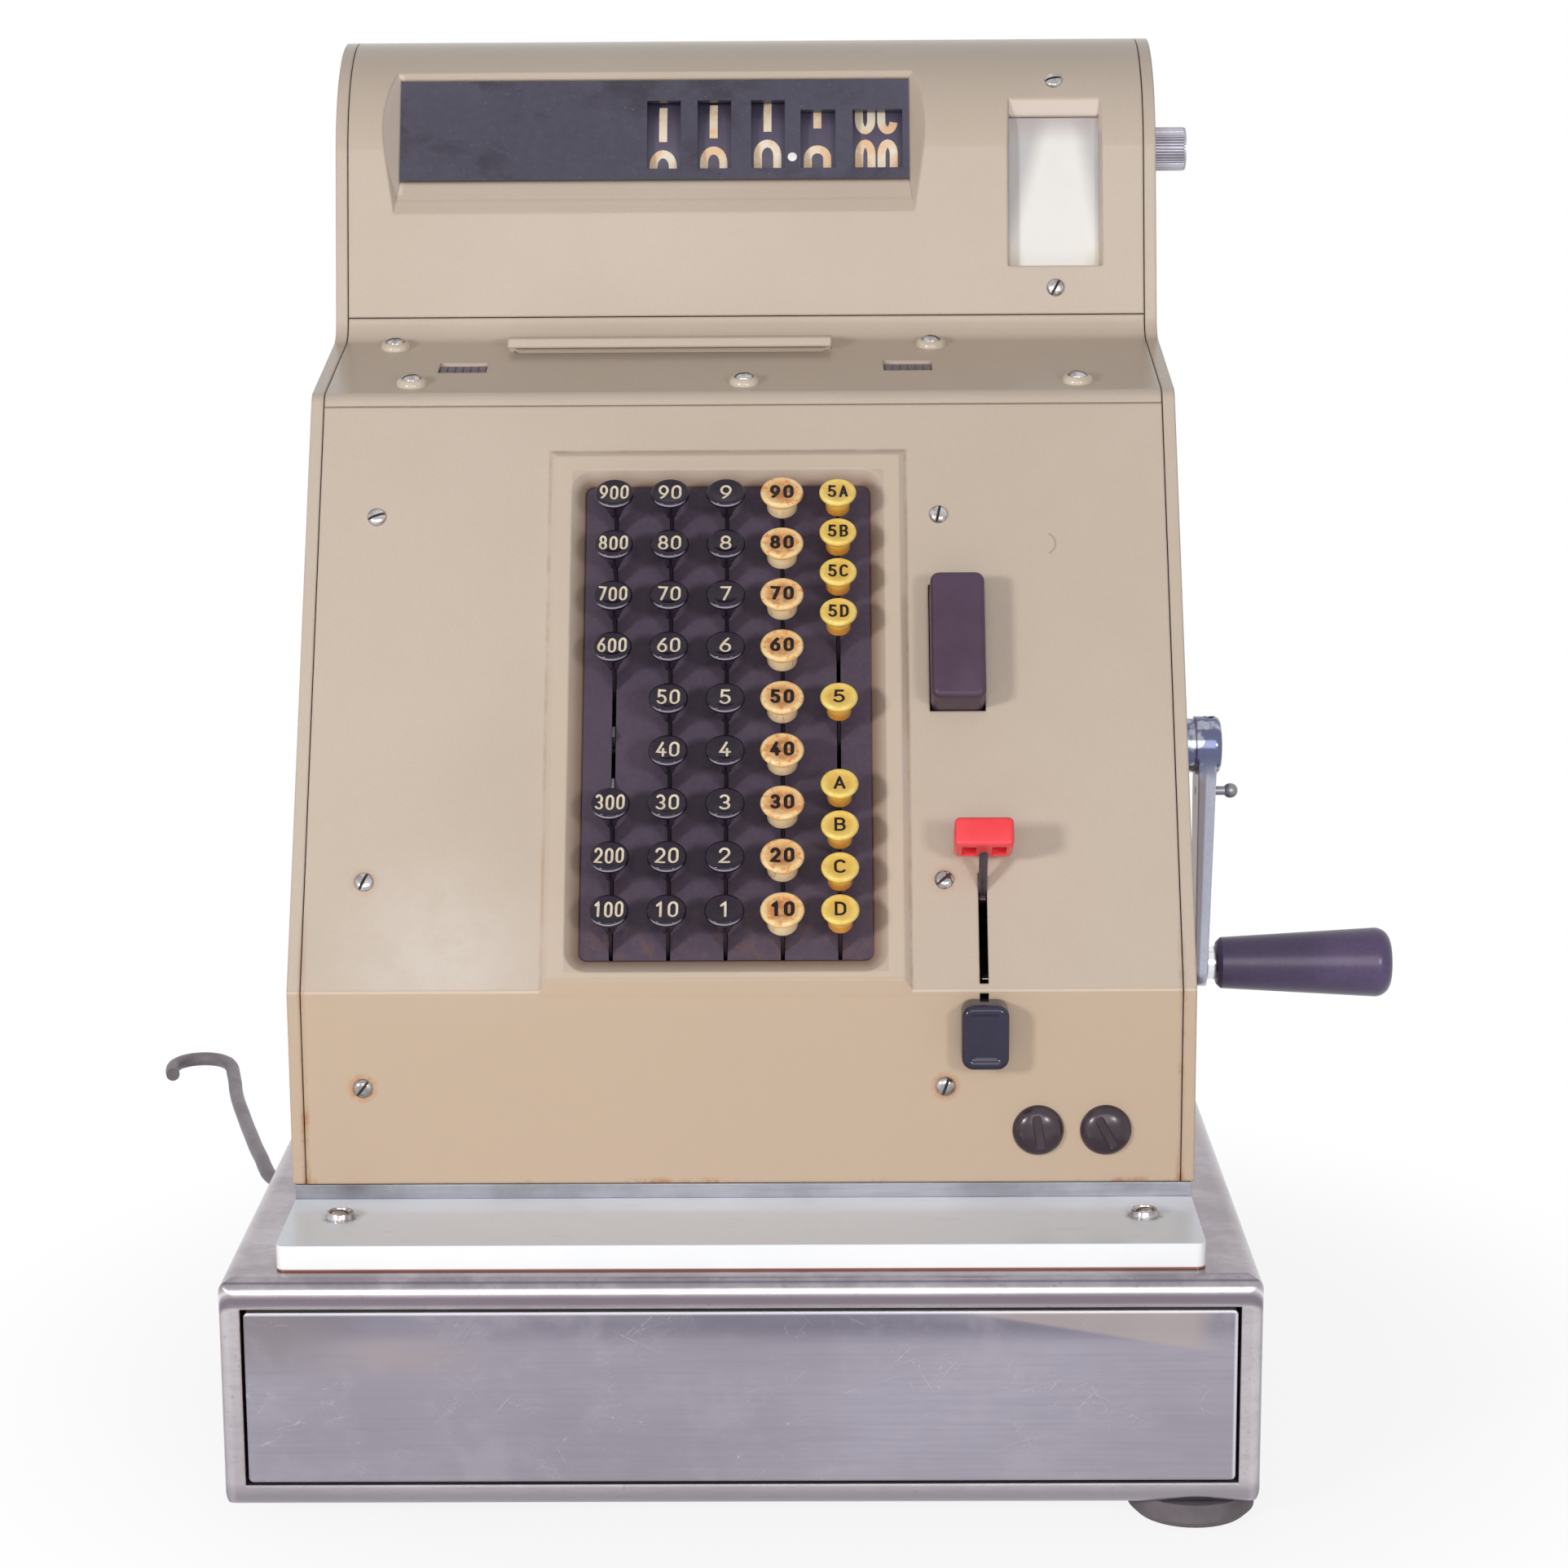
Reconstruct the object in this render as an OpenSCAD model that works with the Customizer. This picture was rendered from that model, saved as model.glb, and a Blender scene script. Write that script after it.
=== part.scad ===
// Cash register with a side crank, standing on a cash drawer cabinet.
// Millimetres, +Z up, the front faces -Y. The origin is on the floor, in the middle of the object's box.

/* [Cabinet] */
// Width of the drawer cabinet
cab_w = 430; // [400:1:480]
// Depth of the drawer cabinet
cab_d = 430; // [428:1:480]
// Height of the cabinet without its feet
cab_h = 98.5; // [80:0.5:130]
// Thickness of the cabinet's sheet
cab_sheet = 3; // [2:0.5:5]
// Width of the front frame beside the drawer
cab_wall = 9.5; // [8:0.5:14]
// Height of the front frame over the drawer
cab_top = 12; // [8:0.5:16]
// Height of the front frame under the drawer
cab_floor = 10; // [6:0.5:12]
// Depth of the front frame
frame_d = 14; // [10:1:20]
// Radius of the cabinet's outer edges
cab_edge_r = 7; // [3:0.5:9]
// Height of a rubber foot
foot_h = 11; // [8:0.5:25]
// Diameter of a rubber foot
foot_d = 53; // [30:1:60]
// From the cabinet's sides to the middle of a foot
foot_inset = 26.5; // [26:0.5:60]
// How much further back the left front foot stands
foot_back = 50; // [20:1:80]

/* [Drawer] */
// Gap round the drawer front
drawer_gap = 1.5; // [1:0.1:3]
// Thickness of the drawer front
drawer_front_t = 12; // [6:1:18]
// Thickness of the tray's walls and floor
tray_wall = 3; // [2:0.5:5]
// Height of the runners under the tray
runner_h = 4; // [3:0.5:8]
// Width of a runner
runner_w = 14; // [8:1:20]
// Room beside and above the tray
tray_room = 8; // [6:1:12]
// Room behind the closed tray
tray_rear_room = 12; // [8:1:60]
// Length of the row of coin cups
coin_row = 150; // [100:1:180]
// Number of coin cups
coin_cups = 5; // [3:1:7]
// Number of note bays
note_bays = 4; // [3:1:5]

/* [Change plate] */
// Width of the opal glass plate
change_w = 384; // [340:1:390]
// Thickness of the glass
change_t = 11; // [6:0.5:14]
// From the cabinet's front to the glass
change_set = 12.5; // [8:0.5:20]
// Height of the metal strip behind the glass
trim_h = 6.5; // [4:0.5:10]
// Depth of the metal strip
trim_d = 10; // [6:0.5:14]

/* [Body] */
// Width over the side panels
body_w = 386; // [384:1:396]
// Depth of the body
body_d = 350; // [348:1:354]
// From the cabinet's front to the body's front
front_y = 74.5; // [70:0.5:76]
// Height of the upright front panel
lower_h = 84.5; // [80:0.5:100]
// Slope of the keyboard panel from upright, in degrees
key_slope = 29.2; // [26:0.1:31]
// Length of the keyboard panel
key_run = 270; // [266:1:276]
// Height of the rolled lip over the keyboard panel
lip_over = 6; // [5:0.5:9]
// Radius of the rolled lip
lip_r = 8; // [6:0.5:10]
// Slope of the printing ledge, in degrees
ledge_slope = 11.5; // [8:0.1:14]
// Depth of the printing ledge
ledge_len = 90; // [88:1:96]
// Radius of the hollow behind the ledge
cove_r = 12; // [8:0.5:13]
// Lean of the top housing from upright, in degrees
top_lean = 12.1; // [11:0.1:13]
// Height from the body's foot to its crown
body_h = 480.5; // [478:0.5:486]
// Radius of the crown's front
crown_r = 64.5; // [62:0.5:66]
// Radius of the crown's back
back_r = 40; // [30:1:46]
// Thickness of the side panels
side_t = 5.5; // [4:0.5:7]
// Thickness of the sheet covers
sheet = 3; // [2.5:0.1:3.5]
// Gap at the seams
seam = 0.5; // [0.3:0.1:0.8]

/* [Keyboard] */
// Width of the key plate that shows
board_w = 125; // [122:1:130]
// Height of the key plate that shows
board_h = 217; // [216:1:222]
// Middle of the keyboard from the body's middle
board_x = -6.5; // [-12:0.5:0]
// From the bend to the key plate
board_s = 14.5; // [14.5:0.5:18]
// Corner radius of the key plate
board_r = 3.5; // [2:0.5:6]
// Height of the frame round the keyboard
rim_h = 2.5; // [2:0.1:3]
// Width of the frame's inner slope
rim_flare = 6.6; // [5:0.1:7]
// Width of the frame's flat
rim_flat = 6.8; // [4:0.1:7.5]
// Width of the frame's outer slope
rim_fall = 3.2; // [1:0.1:4]
// Thickness of the key plate
plate_t = 2.5; // [2:0.1:4]
// How far the key plate runs behind the frame
plate_lap = 9; // [5:0.5:12]
// Distance between key columns
col_pitch = 24.45; // [23.5:0.05:25]
// Distance between key rows
row_pitch = 23.7; // [23.2:0.05:24]
// Distance between the letter keys
letter_pitch = 18.6; // [18.3:0.05:19]
// Tilt of the keys from the panel's normal, in degrees
key_tilt = 24.5; // [20:0.5:27]
// From the key plate to the top of a cap
key_len = 24.5; // [23:0.5:28]
// Travel of a key
key_travel = 7; // [4:0.5:9]
// Thickness of a key's flat stem
stem_t = 1.2; // [1:0.1:1.6]
// Width of a key's flat stem
stem_w = 6; // [5:0.5:7]
// Length of the stem inside the key plate
stem_in = 18; // [14:1:20]
// Gap between a stem and its slot
stem_gap = 0.3; // [0.2:0.05:0.5]
// Radius of a black cap
black_r = 8.5; // [7.5:0.1:9]
// Radius of an ivory cap
ivory_r = 9.4; // [8.5:0.1:10]
// Radius of a yellow cap
yellow_r = 8.1; // [7:0.05:8.2]

/* [Controls] */
// Width of the motor bar
bar_w = 23.5; // [20:0.5:28]
// Length of the motor bar
bar_len = 58; // [50:1:64]
// Height of the motor bar over the panel
bar_h = 18; // [14:0.5:22]
// Travel of the motor bar
bar_travel = 6; // [4:0.5:8]
// Gap round moving controls
control_gap = 0.4; // [0.3:0.05:0.6]
// Thickness of the lever blades
blade_t = 3; // [2:0.5:4]
// Length of the red lever from its pivot to the panel
lever_arm = 100; // [95:1:105]
// Half the swing of the red lever, in degrees
lever_swing = 10; // [8:0.5:10]
// Travel of the black lever
black_travel = 12; // [8:1:13]
// Diameter of a blank plug
plug_d = 22; // [18:0.5:24]

/* [Indicator] */
// Slope of the indicator plate from upright, in degrees
plate_lean = 23; // [22:0.5:24]
// Radius of a drum
drum_r = 40; // [36:0.5:41]
// Width of a drum
drum_w = 21; // [18:0.5:22]
// Width of the double drum
double_w = 31; // [26:0.5:32]
// Radius of the drum shaft
drum_shaft_r = 5; // [4:0.5:7]
// Thickness of the indicator plate
glass_t = 3; // [2:0.5:4]
// Running clearance of a shaft in its bore
run_fit = 0.05; // [0.03:0.01:0.1]

/* [Crank] */
// Distance from the crank's shaft to its grip
crank_len = 99.5; // [90:0.5:110]
// Radius of the crank's shaft
shaft_r = 8; // [6:0.5:9]
// Radius of the crank's hub
hub_r = 13; // [12:0.5:15]
// Length of the grip
grip_len = 78; // [70:1:90]
// Radius of the grip at the arm
grip_r1 = 11.5; // [10:0.5:13]
// Radius of the grip at its end
grip_r2 = 15.5; // [13:0.5:17]
// Radius of the grip's pin
pin_r = 4; // [3:0.5:5]
// Radius of the paper knob
knob_r = 10; // [8:0.5:12]
// Length of the paper knob
knob_len = 18; // [12:0.5:20]

/* [Cord] */
// Diameter of the power cord
cord_d = 8; // [6:0.5:8]

/* [Hidden] */
$fn = 64;
big = 1200;
over = 1;
// Rounded corners stand this much proud of a true tangent
ease = 0.02;
// Gap at the joints between boards
joint_gap = 0.2;

opening_w = cab_w - 2 * cab_wall;
runner_x = opening_w / 2 - tray_room - runner_w;
bay_z = foot_h + cab_floor;
bay_top = foot_h + cab_h - cab_top;
cab_top_z = foot_h + cab_h;
change_top = cab_top_z + change_t;
body_z = change_top + trim_h + seam;
crown_z = body_z + body_h;
back_y = front_y + body_d;
cover_w = body_w - 2 * side_t - 2 * seam;
side_x = body_w / 2;

// Side outline of the body, as [y, z] points, directions and inward normals
key_dir = [sin(key_slope), cos(key_slope)];
key_in = [cos(key_slope), -sin(key_slope)];
ledge_dir = [cos(ledge_slope), sin(ledge_slope)];
ledge_in = [sin(ledge_slope), -cos(ledge_slope)];
top_dir = [sin(top_lean), cos(top_lean)];
top_in = [cos(top_lean), -sin(top_lean)];
bend = [front_y, body_z + lower_h];
lip_seam = bend + key_run * key_dir;
lip = bend + (key_run + lip_over) * key_dir;
cove = lip + ledge_len * ledge_dir;
seam_up = 10;
top_seam = cove + seam_up * top_dir;
crown_mid = crown_z - crown_r;
crown_c = [cove[0] + (crown_mid - cove[1]) * tan(top_lean) + crown_r / cos(top_lean), crown_mid];
back_c = [back_y - back_r, crown_z - back_r];

// Where two lines cross: through p along u, and through q along v
function meet(p, u, q, v) =
    let (d = u[0] * v[1] - u[1] * v[0], w = q - p)
    p + u * (w[0] * v[1] - w[1] * v[0]) / d;

// Middle of a circle of radius r that touches the keyboard panel and the ledge
lip_c = meet(lip + lip_r * key_in, key_dir, lip + lip_r * ledge_in, ledge_dir);
cove_c = meet(cove - cove_r * ledge_in, ledge_dir, cove - cove_r * top_in, top_dir);

// The outline's corners, moved inward by i
function outline_points(i) = [
    [front_y + i, body_z],
    meet([front_y + i, body_z], [0, 1], bend + i * key_in, key_dir),
    meet(lip + i * key_in, key_dir, lip + i * ledge_in, ledge_dir),
    cove_c + (cove_r + i) * ledge_in,
    cove_c,
    cove_c + (cove_r + i) * top_in,
    meet(cove + i * top_in, top_dir, [0, crown_z - i], [1, 0]),
    [back_y - i, crown_z - i],
    [back_y - i, body_z]
];

// Places on the body
board_mid = board_s + board_h / 2;
first_row = 6.5;
first_row_s = board_s + first_row;
letter_low_s = first_row_s;
letter_high_s = first_row_s + 8 * row_pitch - 3 * letter_pitch;
plate_n = -sheet;
bar_x = 93.8;
bar_s = 154.5;
lever_x = 103;
lever_s = 25.5;
lever_w = 6;
lever_elbow = 0.3;
lever_pivot_r = 4;
lever_eye = 5;
red_slot_down = 22.5;
red_slot_up = 26.5;
red_size = [25, 12.7, 18];
black_size = [20, 14.5, 28];
black_down = 17.3;
black_z = bend[1] - black_down;
black_stem_h = 10;
black_slot_top = black_z + black_size[2] / 2 + 2;
black_slot_h = black_stem_h + black_travel + 4;
black_stem_in = 18;
plug_x = [126.2, 155];
plug_up = 23;
plug_z = body_z + plug_up;
plug_rise = 5.5;
plug_dome_r = 20;
plug_turn = [98, 119];
plug_shank_r = 7;
plug_slot = [16.5, 4, 1.2];

// The lowest row is 1; the hundreds column lacks its 4 and 5
rows = [1:9];
hundreds_missing = [4, 5];
letters = ["d", "c", "b", "a"];
function row_s(row) = first_row_s + (row - 1) * row_pitch;
col_set = -0.3;
function col_x(col) = board_x + col_set + (col - 2) * col_pitch;

// Indicator: the plate's own frame starts at this point of the outline's plane
plate_set = [27.6, 86.1];
plate_at = cove + plate_set;
plate_left = -163.5;
plate_right = 77.3;
plate_low = -14;
plate_high = 35.5;
well_wall = 3;
side_flare = 38;
sill_flare = 80.5;
head_flare = 57;
drum_x = [-38.7, -14.8, 10.6, 34.3, 62.5];
drum_widths = [drum_w, drum_w, drum_w, drum_w, double_w];
window_w = [16, 16, 16, 16.5, 23.5];
window_low = -8.8;
window_high = [25.3, 25.3, 25.3, 20.4, 20.4];
drum_gap = 2;
plate_in = [cos(plate_lean), -sin(plate_lean)];
window_up = 8;
window_mid = plate_at + window_up * [sin(plate_lean), cos(plate_lean)];
drum_c = window_mid + (glass_t + drum_gap + drum_r) * plate_in;
drum_rim = 3;
drum_hub_r = 9;

// Journal window, on the top housing's lower face
journal_inset = 26.4;
journal_w = 42.1;
journal_right = side_x - journal_inset;
journal_left = journal_right - journal_w;
journal_low = 34.3;
journal_high = 104.2;
journal_set = 8;
journal_t = 2;
journal_flare = 8;
journal_head = 72;

// Printing ledge
slot_left = -110;
slot_right = 40;
counter_x = [-128.8, 74.8];
counter_size = [22, 16];
counter_y = 42.5;

// Crank, shaft and paper knob, as [y, z]
shaft_c = [170, 299];
hub_neck = 7.5;
arm_t = 8.5;
hub_face = 2;
hub_x1 = side_x + seam;
arm_x1 = hub_x1 + hub_neck;
arm_x2 = arm_x1 + arm_t;
hub_x2 = arm_x2 + hub_face;
grip_c = shaft_c - [0, crank_len];
arm_end_r = 10.5;
neck_r = 7.5;
grip_x1 = hub_x2;
grip_x2 = grip_x1 + grip_len;
plunger_down = 20.5;
plunger_c = shaft_c - [0, plunger_down];
plunger_r = 2;
ball_r = 3.3;
knob_c = [365, 555.5];
spindle_r = 4;
spool_r = 20;
spool_x1 = journal_left;
spool_x2 = journal_right + 2;

// Frame inside the body
frame_in = 12;
plinth_y = front_y + trim_d + 4;
frame_t = 4;
frame_gap = 7;
frame_x = cover_w / 2 - frame_gap;
rod_r = 5;
rod_set = [[65.5, 22.5], [325.5, 42.5], [175.5, 312.5]];
motor_r = 34;
motor_len = 110;
motor_set = 255.5;
lever_c = bend + lever_s * key_dir + lever_arm * key_in;
beam = 16;
beam_up = 342.5;
beam_c = [drum_c[0], body_z + beam_up];
lever_pin = 8;

// Screws as [x, distance up the face]
panel_screws = [[-161.8, 217], [-161.8, 48.8], [86.6, 217], [86.6, 48.8]];
lower_screws = [[-161.8, 42.5], [86.6, 42.5]];
ledge_screws = [[-163.4, 76], [86.5, 76], [-149.7, 16], [0.4, 16], [150.7, 16]];
plate_screws = [[-169.5, 49.5], [169.5, 49.5]];
crown_screw_x = (journal_left + journal_right) / 2;
crown_screw_angle = 44;
face_screw_t = 22.8;
screw_r = 2;
screw_gap = 0.3;
screw_head_r = 4.2;
screw_head_h = 2.2;
screw_len = 9;
cup_r = 7;
cup_h = 3;

// Cord: from the strain relief's end, down to the floor and round behind the cabinet
gland_at = [-108, 45];
gland_flange_r = 9;
gland_flange_t = 4;
gland_step = 1.5;
gland_spigot_r = 6.2;
gland_spigot = 6;
relief_len = 30;
cord_y = cab_d + gland_flange_t + relief_len;
cord_route = [
    [-108, 0, 45], [-108, 13, 44], [-110, 26, 40], [-116, 36, 34], [-126, 44, 27], [-138, 47, 20],
    [-151, 45, 14], [-163, 40, 9], [-174, 32, 6], [-184, 23, 5], [-194, 14, 4.5], [-205, 5, 4.5],
    [-217, -3, 4.5], [-230, -7, 4.5], [-244, -7, 4.5], [-257, -1, 4.5], [-266, 10, 4.5],
    [-271, 24, 4.5],
    [-276, 42, 4.5], [-282, 62, 4.5], [-288, 84, 4.5], [-294, 106, 4.5], [-300, 129, 4.5],
    [-306, 152, 4.5], [-311, 174, 4.5], [-315, 195, 4.5], [-319, 214, 4.5], [-322, 227, 4.5],
    [-327, 238, 4.5], [-335, 245, 4.5], [-345, 246, 4.5], [-353, 241, 4.5], [-357, 232, 4.5],
    [-357, 222, 4.5], [-355, 212, 4.5]
];
cord_sides = 10;

// The origin is the middle of the box from the cabinet's left side to the end of the grip
origin = [(grip_x2 - cab_w / 2) / 2, cab_d / 2, 0];

// Moves the machine so that its origin is the object's own
module place() {
    translate(-origin) children();
}

// Stands a [y, z] outline up and gives it a width along X
module across(width) {
    rotate([90, 0, 90]) linear_extrude(width, center = true) children();
}

// Turns a shape to run along X from x, at a [y, z] point
module along_x(at, x) {
    translate([x, at[0], at[1]]) rotate([0, 90, 0]) children();
}

// Frames on the body's faces: local X is across, Y is up the face, Z points out of it
module on_face(at, lean) {
    translate([0, at[0], at[1]]) rotate([90 - lean, 0, 0]) children();
}

module on_key_panel() {
    on_face(bend, key_slope) children();
}

module on_ledge() {
    translate([0, lip[0], lip[1]]) rotate([ledge_slope, 0, 0]) children();
}

module on_front() {
    on_face([front_y, body_z], 0) children();
}

// Everything on the side of point p that dir points to
module half_plane(p, dir) {
    translate(p) rotate(atan2(dir[1], dir[0])) translate([0, -big]) square([big, 2 * big]);
}

module round_rect(w, h, r) {
    square([w - 2 * r, h], center = true);
    square([w, h - 2 * r], center = true);
    for (x = [-1, 1], y = [-1, 1]) {
        translate([x * (w / 2 - r), y * (h / 2 - r)]) circle(r);
    }
}

// Carries a section [out, up] round a rectangle with rounded corners
module rim(w, h, r) {
    for (k = [0:3]) {
        half = (k % 2 == 0 ? w : h) / 2;
        run = (k % 2 == 0 ? h : w) - 2 * r;
        rotate(90 * k) {
            translate([half, 0, 0]) rotate([90, 0, 0]) linear_extrude(run, center = true) children();
            translate([half - r, run / 2, 0]) rotate_extrude(angle = 90) translate([r, 0]) children();
        }
    }
}

// A shallow recess: a rectangle whose walls lean outward by the given angles
module funnel(left, right, low, high, side_a, low_a, high_a, grow = 0) {
    deep = 40;
    side = deep * tan(side_a);
    intersection() {
        rotate([90, 0, 0]) linear_extrude(big, center = true) polygon([
            [left - grow, 0], [right + grow, 0], [right + grow + side, deep], [left - grow - side, deep]
        ]);
        rotate([90, 0, 90]) linear_extrude(big, center = true) polygon([
            [low - grow, 0], [high + grow, 0], [high + grow + deep * tan(high_a), deep],
            [low - grow - deep * tan(low_a), deep]
        ]);
    }
}

// Rounds off a corner between two faces whose outward normals are a and b
module corner_cut(c, r, a, b) {
    far = 3 * r;
    difference() {
        polygon([c, c + far * a, c + far * (a + b), c + far * b]);
        translate(c) circle(r + ease);
    }
}

// The body's side outline, moved inward by i
module outline(i) {
    difference() {
        polygon(outline_points(i));
        translate(cove_c) circle(cove_r + i + ease);
        corner_cut(lip_c, lip_r - i, -key_in, -ledge_in);
        corner_cut(crown_c, crown_r - i, -top_in, [0, 1]);
        corner_cut(back_c, back_r - i, [0, 1], [1, 0]);
    }
}

module skin() {
    difference() {
        outline(0);
        difference() {
            outline(sheet);
            translate([0, body_z - over]) square([big, over]);
        }
    }
}

module round_box(size, r) {
    intersection() {
        translate([0, size[1] / 2, size[2] / 2]) rotate([90, 0, 0])
            linear_extrude(size[1], center = true) round_rect(size[0], size[2], r);
        translate([0, size[1] / 2, 0]) linear_extrude(size[2]) round_rect(size[0], size[1], r);
        translate([0, size[1] / 2, size[2] / 2]) rotate([90, 0, 90])
            linear_extrude(size[0], center = true) round_rect(size[1], size[2], r);
    }
}

// Cabinet

module base_cabinet() {
    color("lightsteelblue") place() difference() {
        union() {
            difference() {
                translate([0, 0, foot_h]) round_box([cab_w, cab_d, cab_h], cab_edge_r);
                translate([-opening_w / 2, -over, bay_z]) cube([opening_w, cab_d / 2, bay_top - bay_z]);
                translate([cab_sheet - cab_w / 2, frame_d, foot_h + cab_sheet])
                    cube([cab_w - 2 * cab_sheet, cab_d - frame_d - cab_sheet, cab_h - 2 * cab_sheet]);
            }
            for (side = [-1, 1]) {
                translate([side * runner_x - runner_w / 2, frame_d, foot_h + cab_sheet - over])
                    cube([runner_w, cab_d - frame_d - over, cab_floor - cab_sheet + runner_h + over]);
            }
        }
        translate([gland_at[0], cab_d - cab_sheet - over, gland_at[1]]) rotate([-90, 0, 0])
            cylinder(r = gland_spigot_r + screw_gap, h = cab_sheet + 2 * over);
    }
}

module rubber_feet() {
    foot_bevel = 3;
    foot_x = cab_w / 2 - foot_inset;
    rear_y = cab_d - foot_inset;
    spots = [[foot_x, foot_inset], [-foot_x, foot_inset + foot_back], [foot_x, rear_y], [-foot_x, rear_y]];
    color("dimgray") place() for (at = spots) translate([at[0], at[1], 0]) {
        cylinder(d1 = foot_d - 2 * foot_bevel, d2 = foot_d, h = foot_bevel);
        translate([0, 0, foot_bevel]) cylinder(d = foot_d, h = foot_h - foot_bevel);
    }
}

// Drawer

tray_w = opening_w - 2 * tray_room;
tray_z = bay_z + runner_h + screw_gap;
tray_h = bay_top - tray_room - tray_z;
tray_len = cab_d - cab_sheet - tray_rear_room - drawer_front_t;

tray_board_z = tray_z + tray_wall + joint_gap;
tray_board_h = tray_h - tray_wall - joint_gap;

// Upright boards that part a row of the tray into equal pockets
module tray_dividers(count, y, length) {
    pitch = (tray_w - tray_wall) / count;
    for (i = [1:count - 1]) {
        translate([i * pitch - tray_w / 2, y + joint_gap, tray_board_z])
            cube([tray_wall, length - 2 * joint_gap, tray_board_h]);
    }
}

// A floor, two long sides, three cross boards and the dividers, each a board of its own
module drawer_tray() {
    cross_w = tray_w - 2 * tray_wall - 2 * joint_gap;
    coin_y = drawer_front_t + tray_wall;
    note_y = coin_y + coin_row + tray_wall;
    rear_y = drawer_front_t + tray_len - tray_wall;
    color("gray") place() {
        translate([-tray_w / 2, drawer_front_t, tray_z]) cube([tray_w, tray_len, tray_wall]);
        for (x = [-tray_w / 2, tray_w / 2 - tray_wall]) {
            translate([x, drawer_front_t, tray_board_z]) cube([tray_wall, tray_len, tray_board_h]);
        }
        for (y = [drawer_front_t, coin_y + coin_row, rear_y]) {
            translate([-cross_w / 2, y, tray_board_z]) cube([cross_w, tray_wall, tray_board_h]);
        }
        tray_dividers(coin_cups, coin_y, coin_row);
        tray_dividers(note_bays, note_y, rear_y - note_y);
    }
}

module drawer_front() {
    front_r = 2;
    color("silver") place() translate([0, drawer_front_t, (bay_z + bay_top) / 2]) rotate([90, 0, 0])
        linear_extrude(drawer_front_t)
            round_rect(opening_w - 2 * drawer_gap, bay_top - bay_z - 2 * drawer_gap, front_r);
}

// Change plate

module change_plate() {
    plate_len = front_y + trim_d + 2 - change_set;
    corner_r = 4;
    color("whitesmoke") place() translate([0, change_set + plate_len / 2, cab_top_z]) difference() {
        linear_extrude(change_t) round_rect(change_w, plate_len, corner_r);
        for (at = plate_screws) {
            translate([at[0], at[1] - change_set - plate_len / 2, change_t - screw_len])
                cylinder(r = screw_r + screw_gap, h = screw_len + over);
        }
    }
}

module trim_strip() {
    color("gainsboro") place()
        translate([-change_w / 2, front_y + seam, change_top]) cube([change_w, trim_d, trim_h]);
}

// Covers

module left_side_panel() {
    color("tan") place() translate([side_t / 2 - side_x, 0, 0]) across(side_t) outline(0);
}

module right_side_panel() {
    color("tan") place() difference() {
        translate([side_x - side_t / 2, 0, 0]) across(side_t) outline(0);
        along_x(shaft_c, side_x - side_t - over) cylinder(r = shaft_r + over, h = side_t + 2 * over);
        along_x(knob_c, side_x - side_t - over) cylinder(r = spindle_r + over, h = side_t + 2 * over);
    }
}

module screw_hole() {
    translate([0, 0, -screw_len]) cylinder(r = screw_r + screw_gap, h = screw_len + over);
}

// The inner slope of the keyboard's frame, and a strip of the flat behind it
module keyboard_slope(strip) {
    translate([board_x, board_mid, 0]) rim(board_w, board_h, board_r) polygon([
        [0, -sheet], [rim_flare, rim_h], [rim_flare + strip, rim_h], [rim_flare + strip, -sheet]
    ]);
}

// The raised frame round the keyboard: square corners, sloped sides, its foot flush with the upright panel
module keyboard_block() {
    outer = rim_flare + rim_flat + rim_fall;
    half = board_w / 2 + outer;
    top = board_s + board_h + outer;
    foot = 1 / tan(key_slope);
    intersection() {
        translate([board_x, 0, 0]) rotate([90, 0, 0]) linear_extrude(big, center = true) polygon([
            [-half, -sheet], [half, -sheet], [half, 0], [half - rim_fall, rim_h],
            [rim_fall - half, rim_h], [-half, 0]
        ]);
        across(big) polygon([
            [-sheet * foot, -sheet], [top, -sheet], [top, 0], [top - rim_fall, rim_h], [rim_h * foot, rim_h]
        ]);
    }
}

module front_panel() {
    strip = 2;
    hole = rim_flare + strip / 2;
    slot_w = blade_t + 2 * control_gap;
    color("tan") place() difference() {
        union() {
            difference() {
                union() {
                    across(cover_w) intersection() {
                        skin();
                        half_plane(lip_seam, -key_dir);
                        half_plane([cove[0], 0], [-1, 0]);
                    }
                    on_key_panel() keyboard_block();
                }
                on_key_panel() translate([board_x, board_mid, -sheet - over])
                    linear_extrude(sheet + rim_h + 2 * over)
                        round_rect(board_w + 2 * hole, board_h + 2 * hole, board_r + hole);
            }
            on_key_panel() keyboard_slope(strip);
        }
        on_key_panel() {
            translate([bar_x, bar_s, -sheet - over]) linear_extrude(sheet + 2 * over)
                square([bar_w + 2 * control_gap, bar_len + 2 * control_gap], center = true);
            translate([lever_x - slot_w / 2, lever_s - red_slot_down, -sheet - over])
                cube([slot_w, red_slot_down + red_slot_up, sheet + 2 * over]);
            for (at = panel_screws) translate([at[0], at[1], 0]) screw_hole();
        }
        on_front() {
            for (at = lower_screws) translate([at[0], at[1], 0]) screw_hole();
            for (x = plug_x) {
                translate([x, plug_z - body_z, -sheet - over])
                    cylinder(r = plug_shank_r + screw_gap, h = sheet + 2 * over);
            }
        }
        translate([lever_x - slot_w / 2, front_y - over, black_slot_top - black_slot_h])
            cube([slot_w, sheet + 2 * over, black_slot_h]);
    }
}

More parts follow.
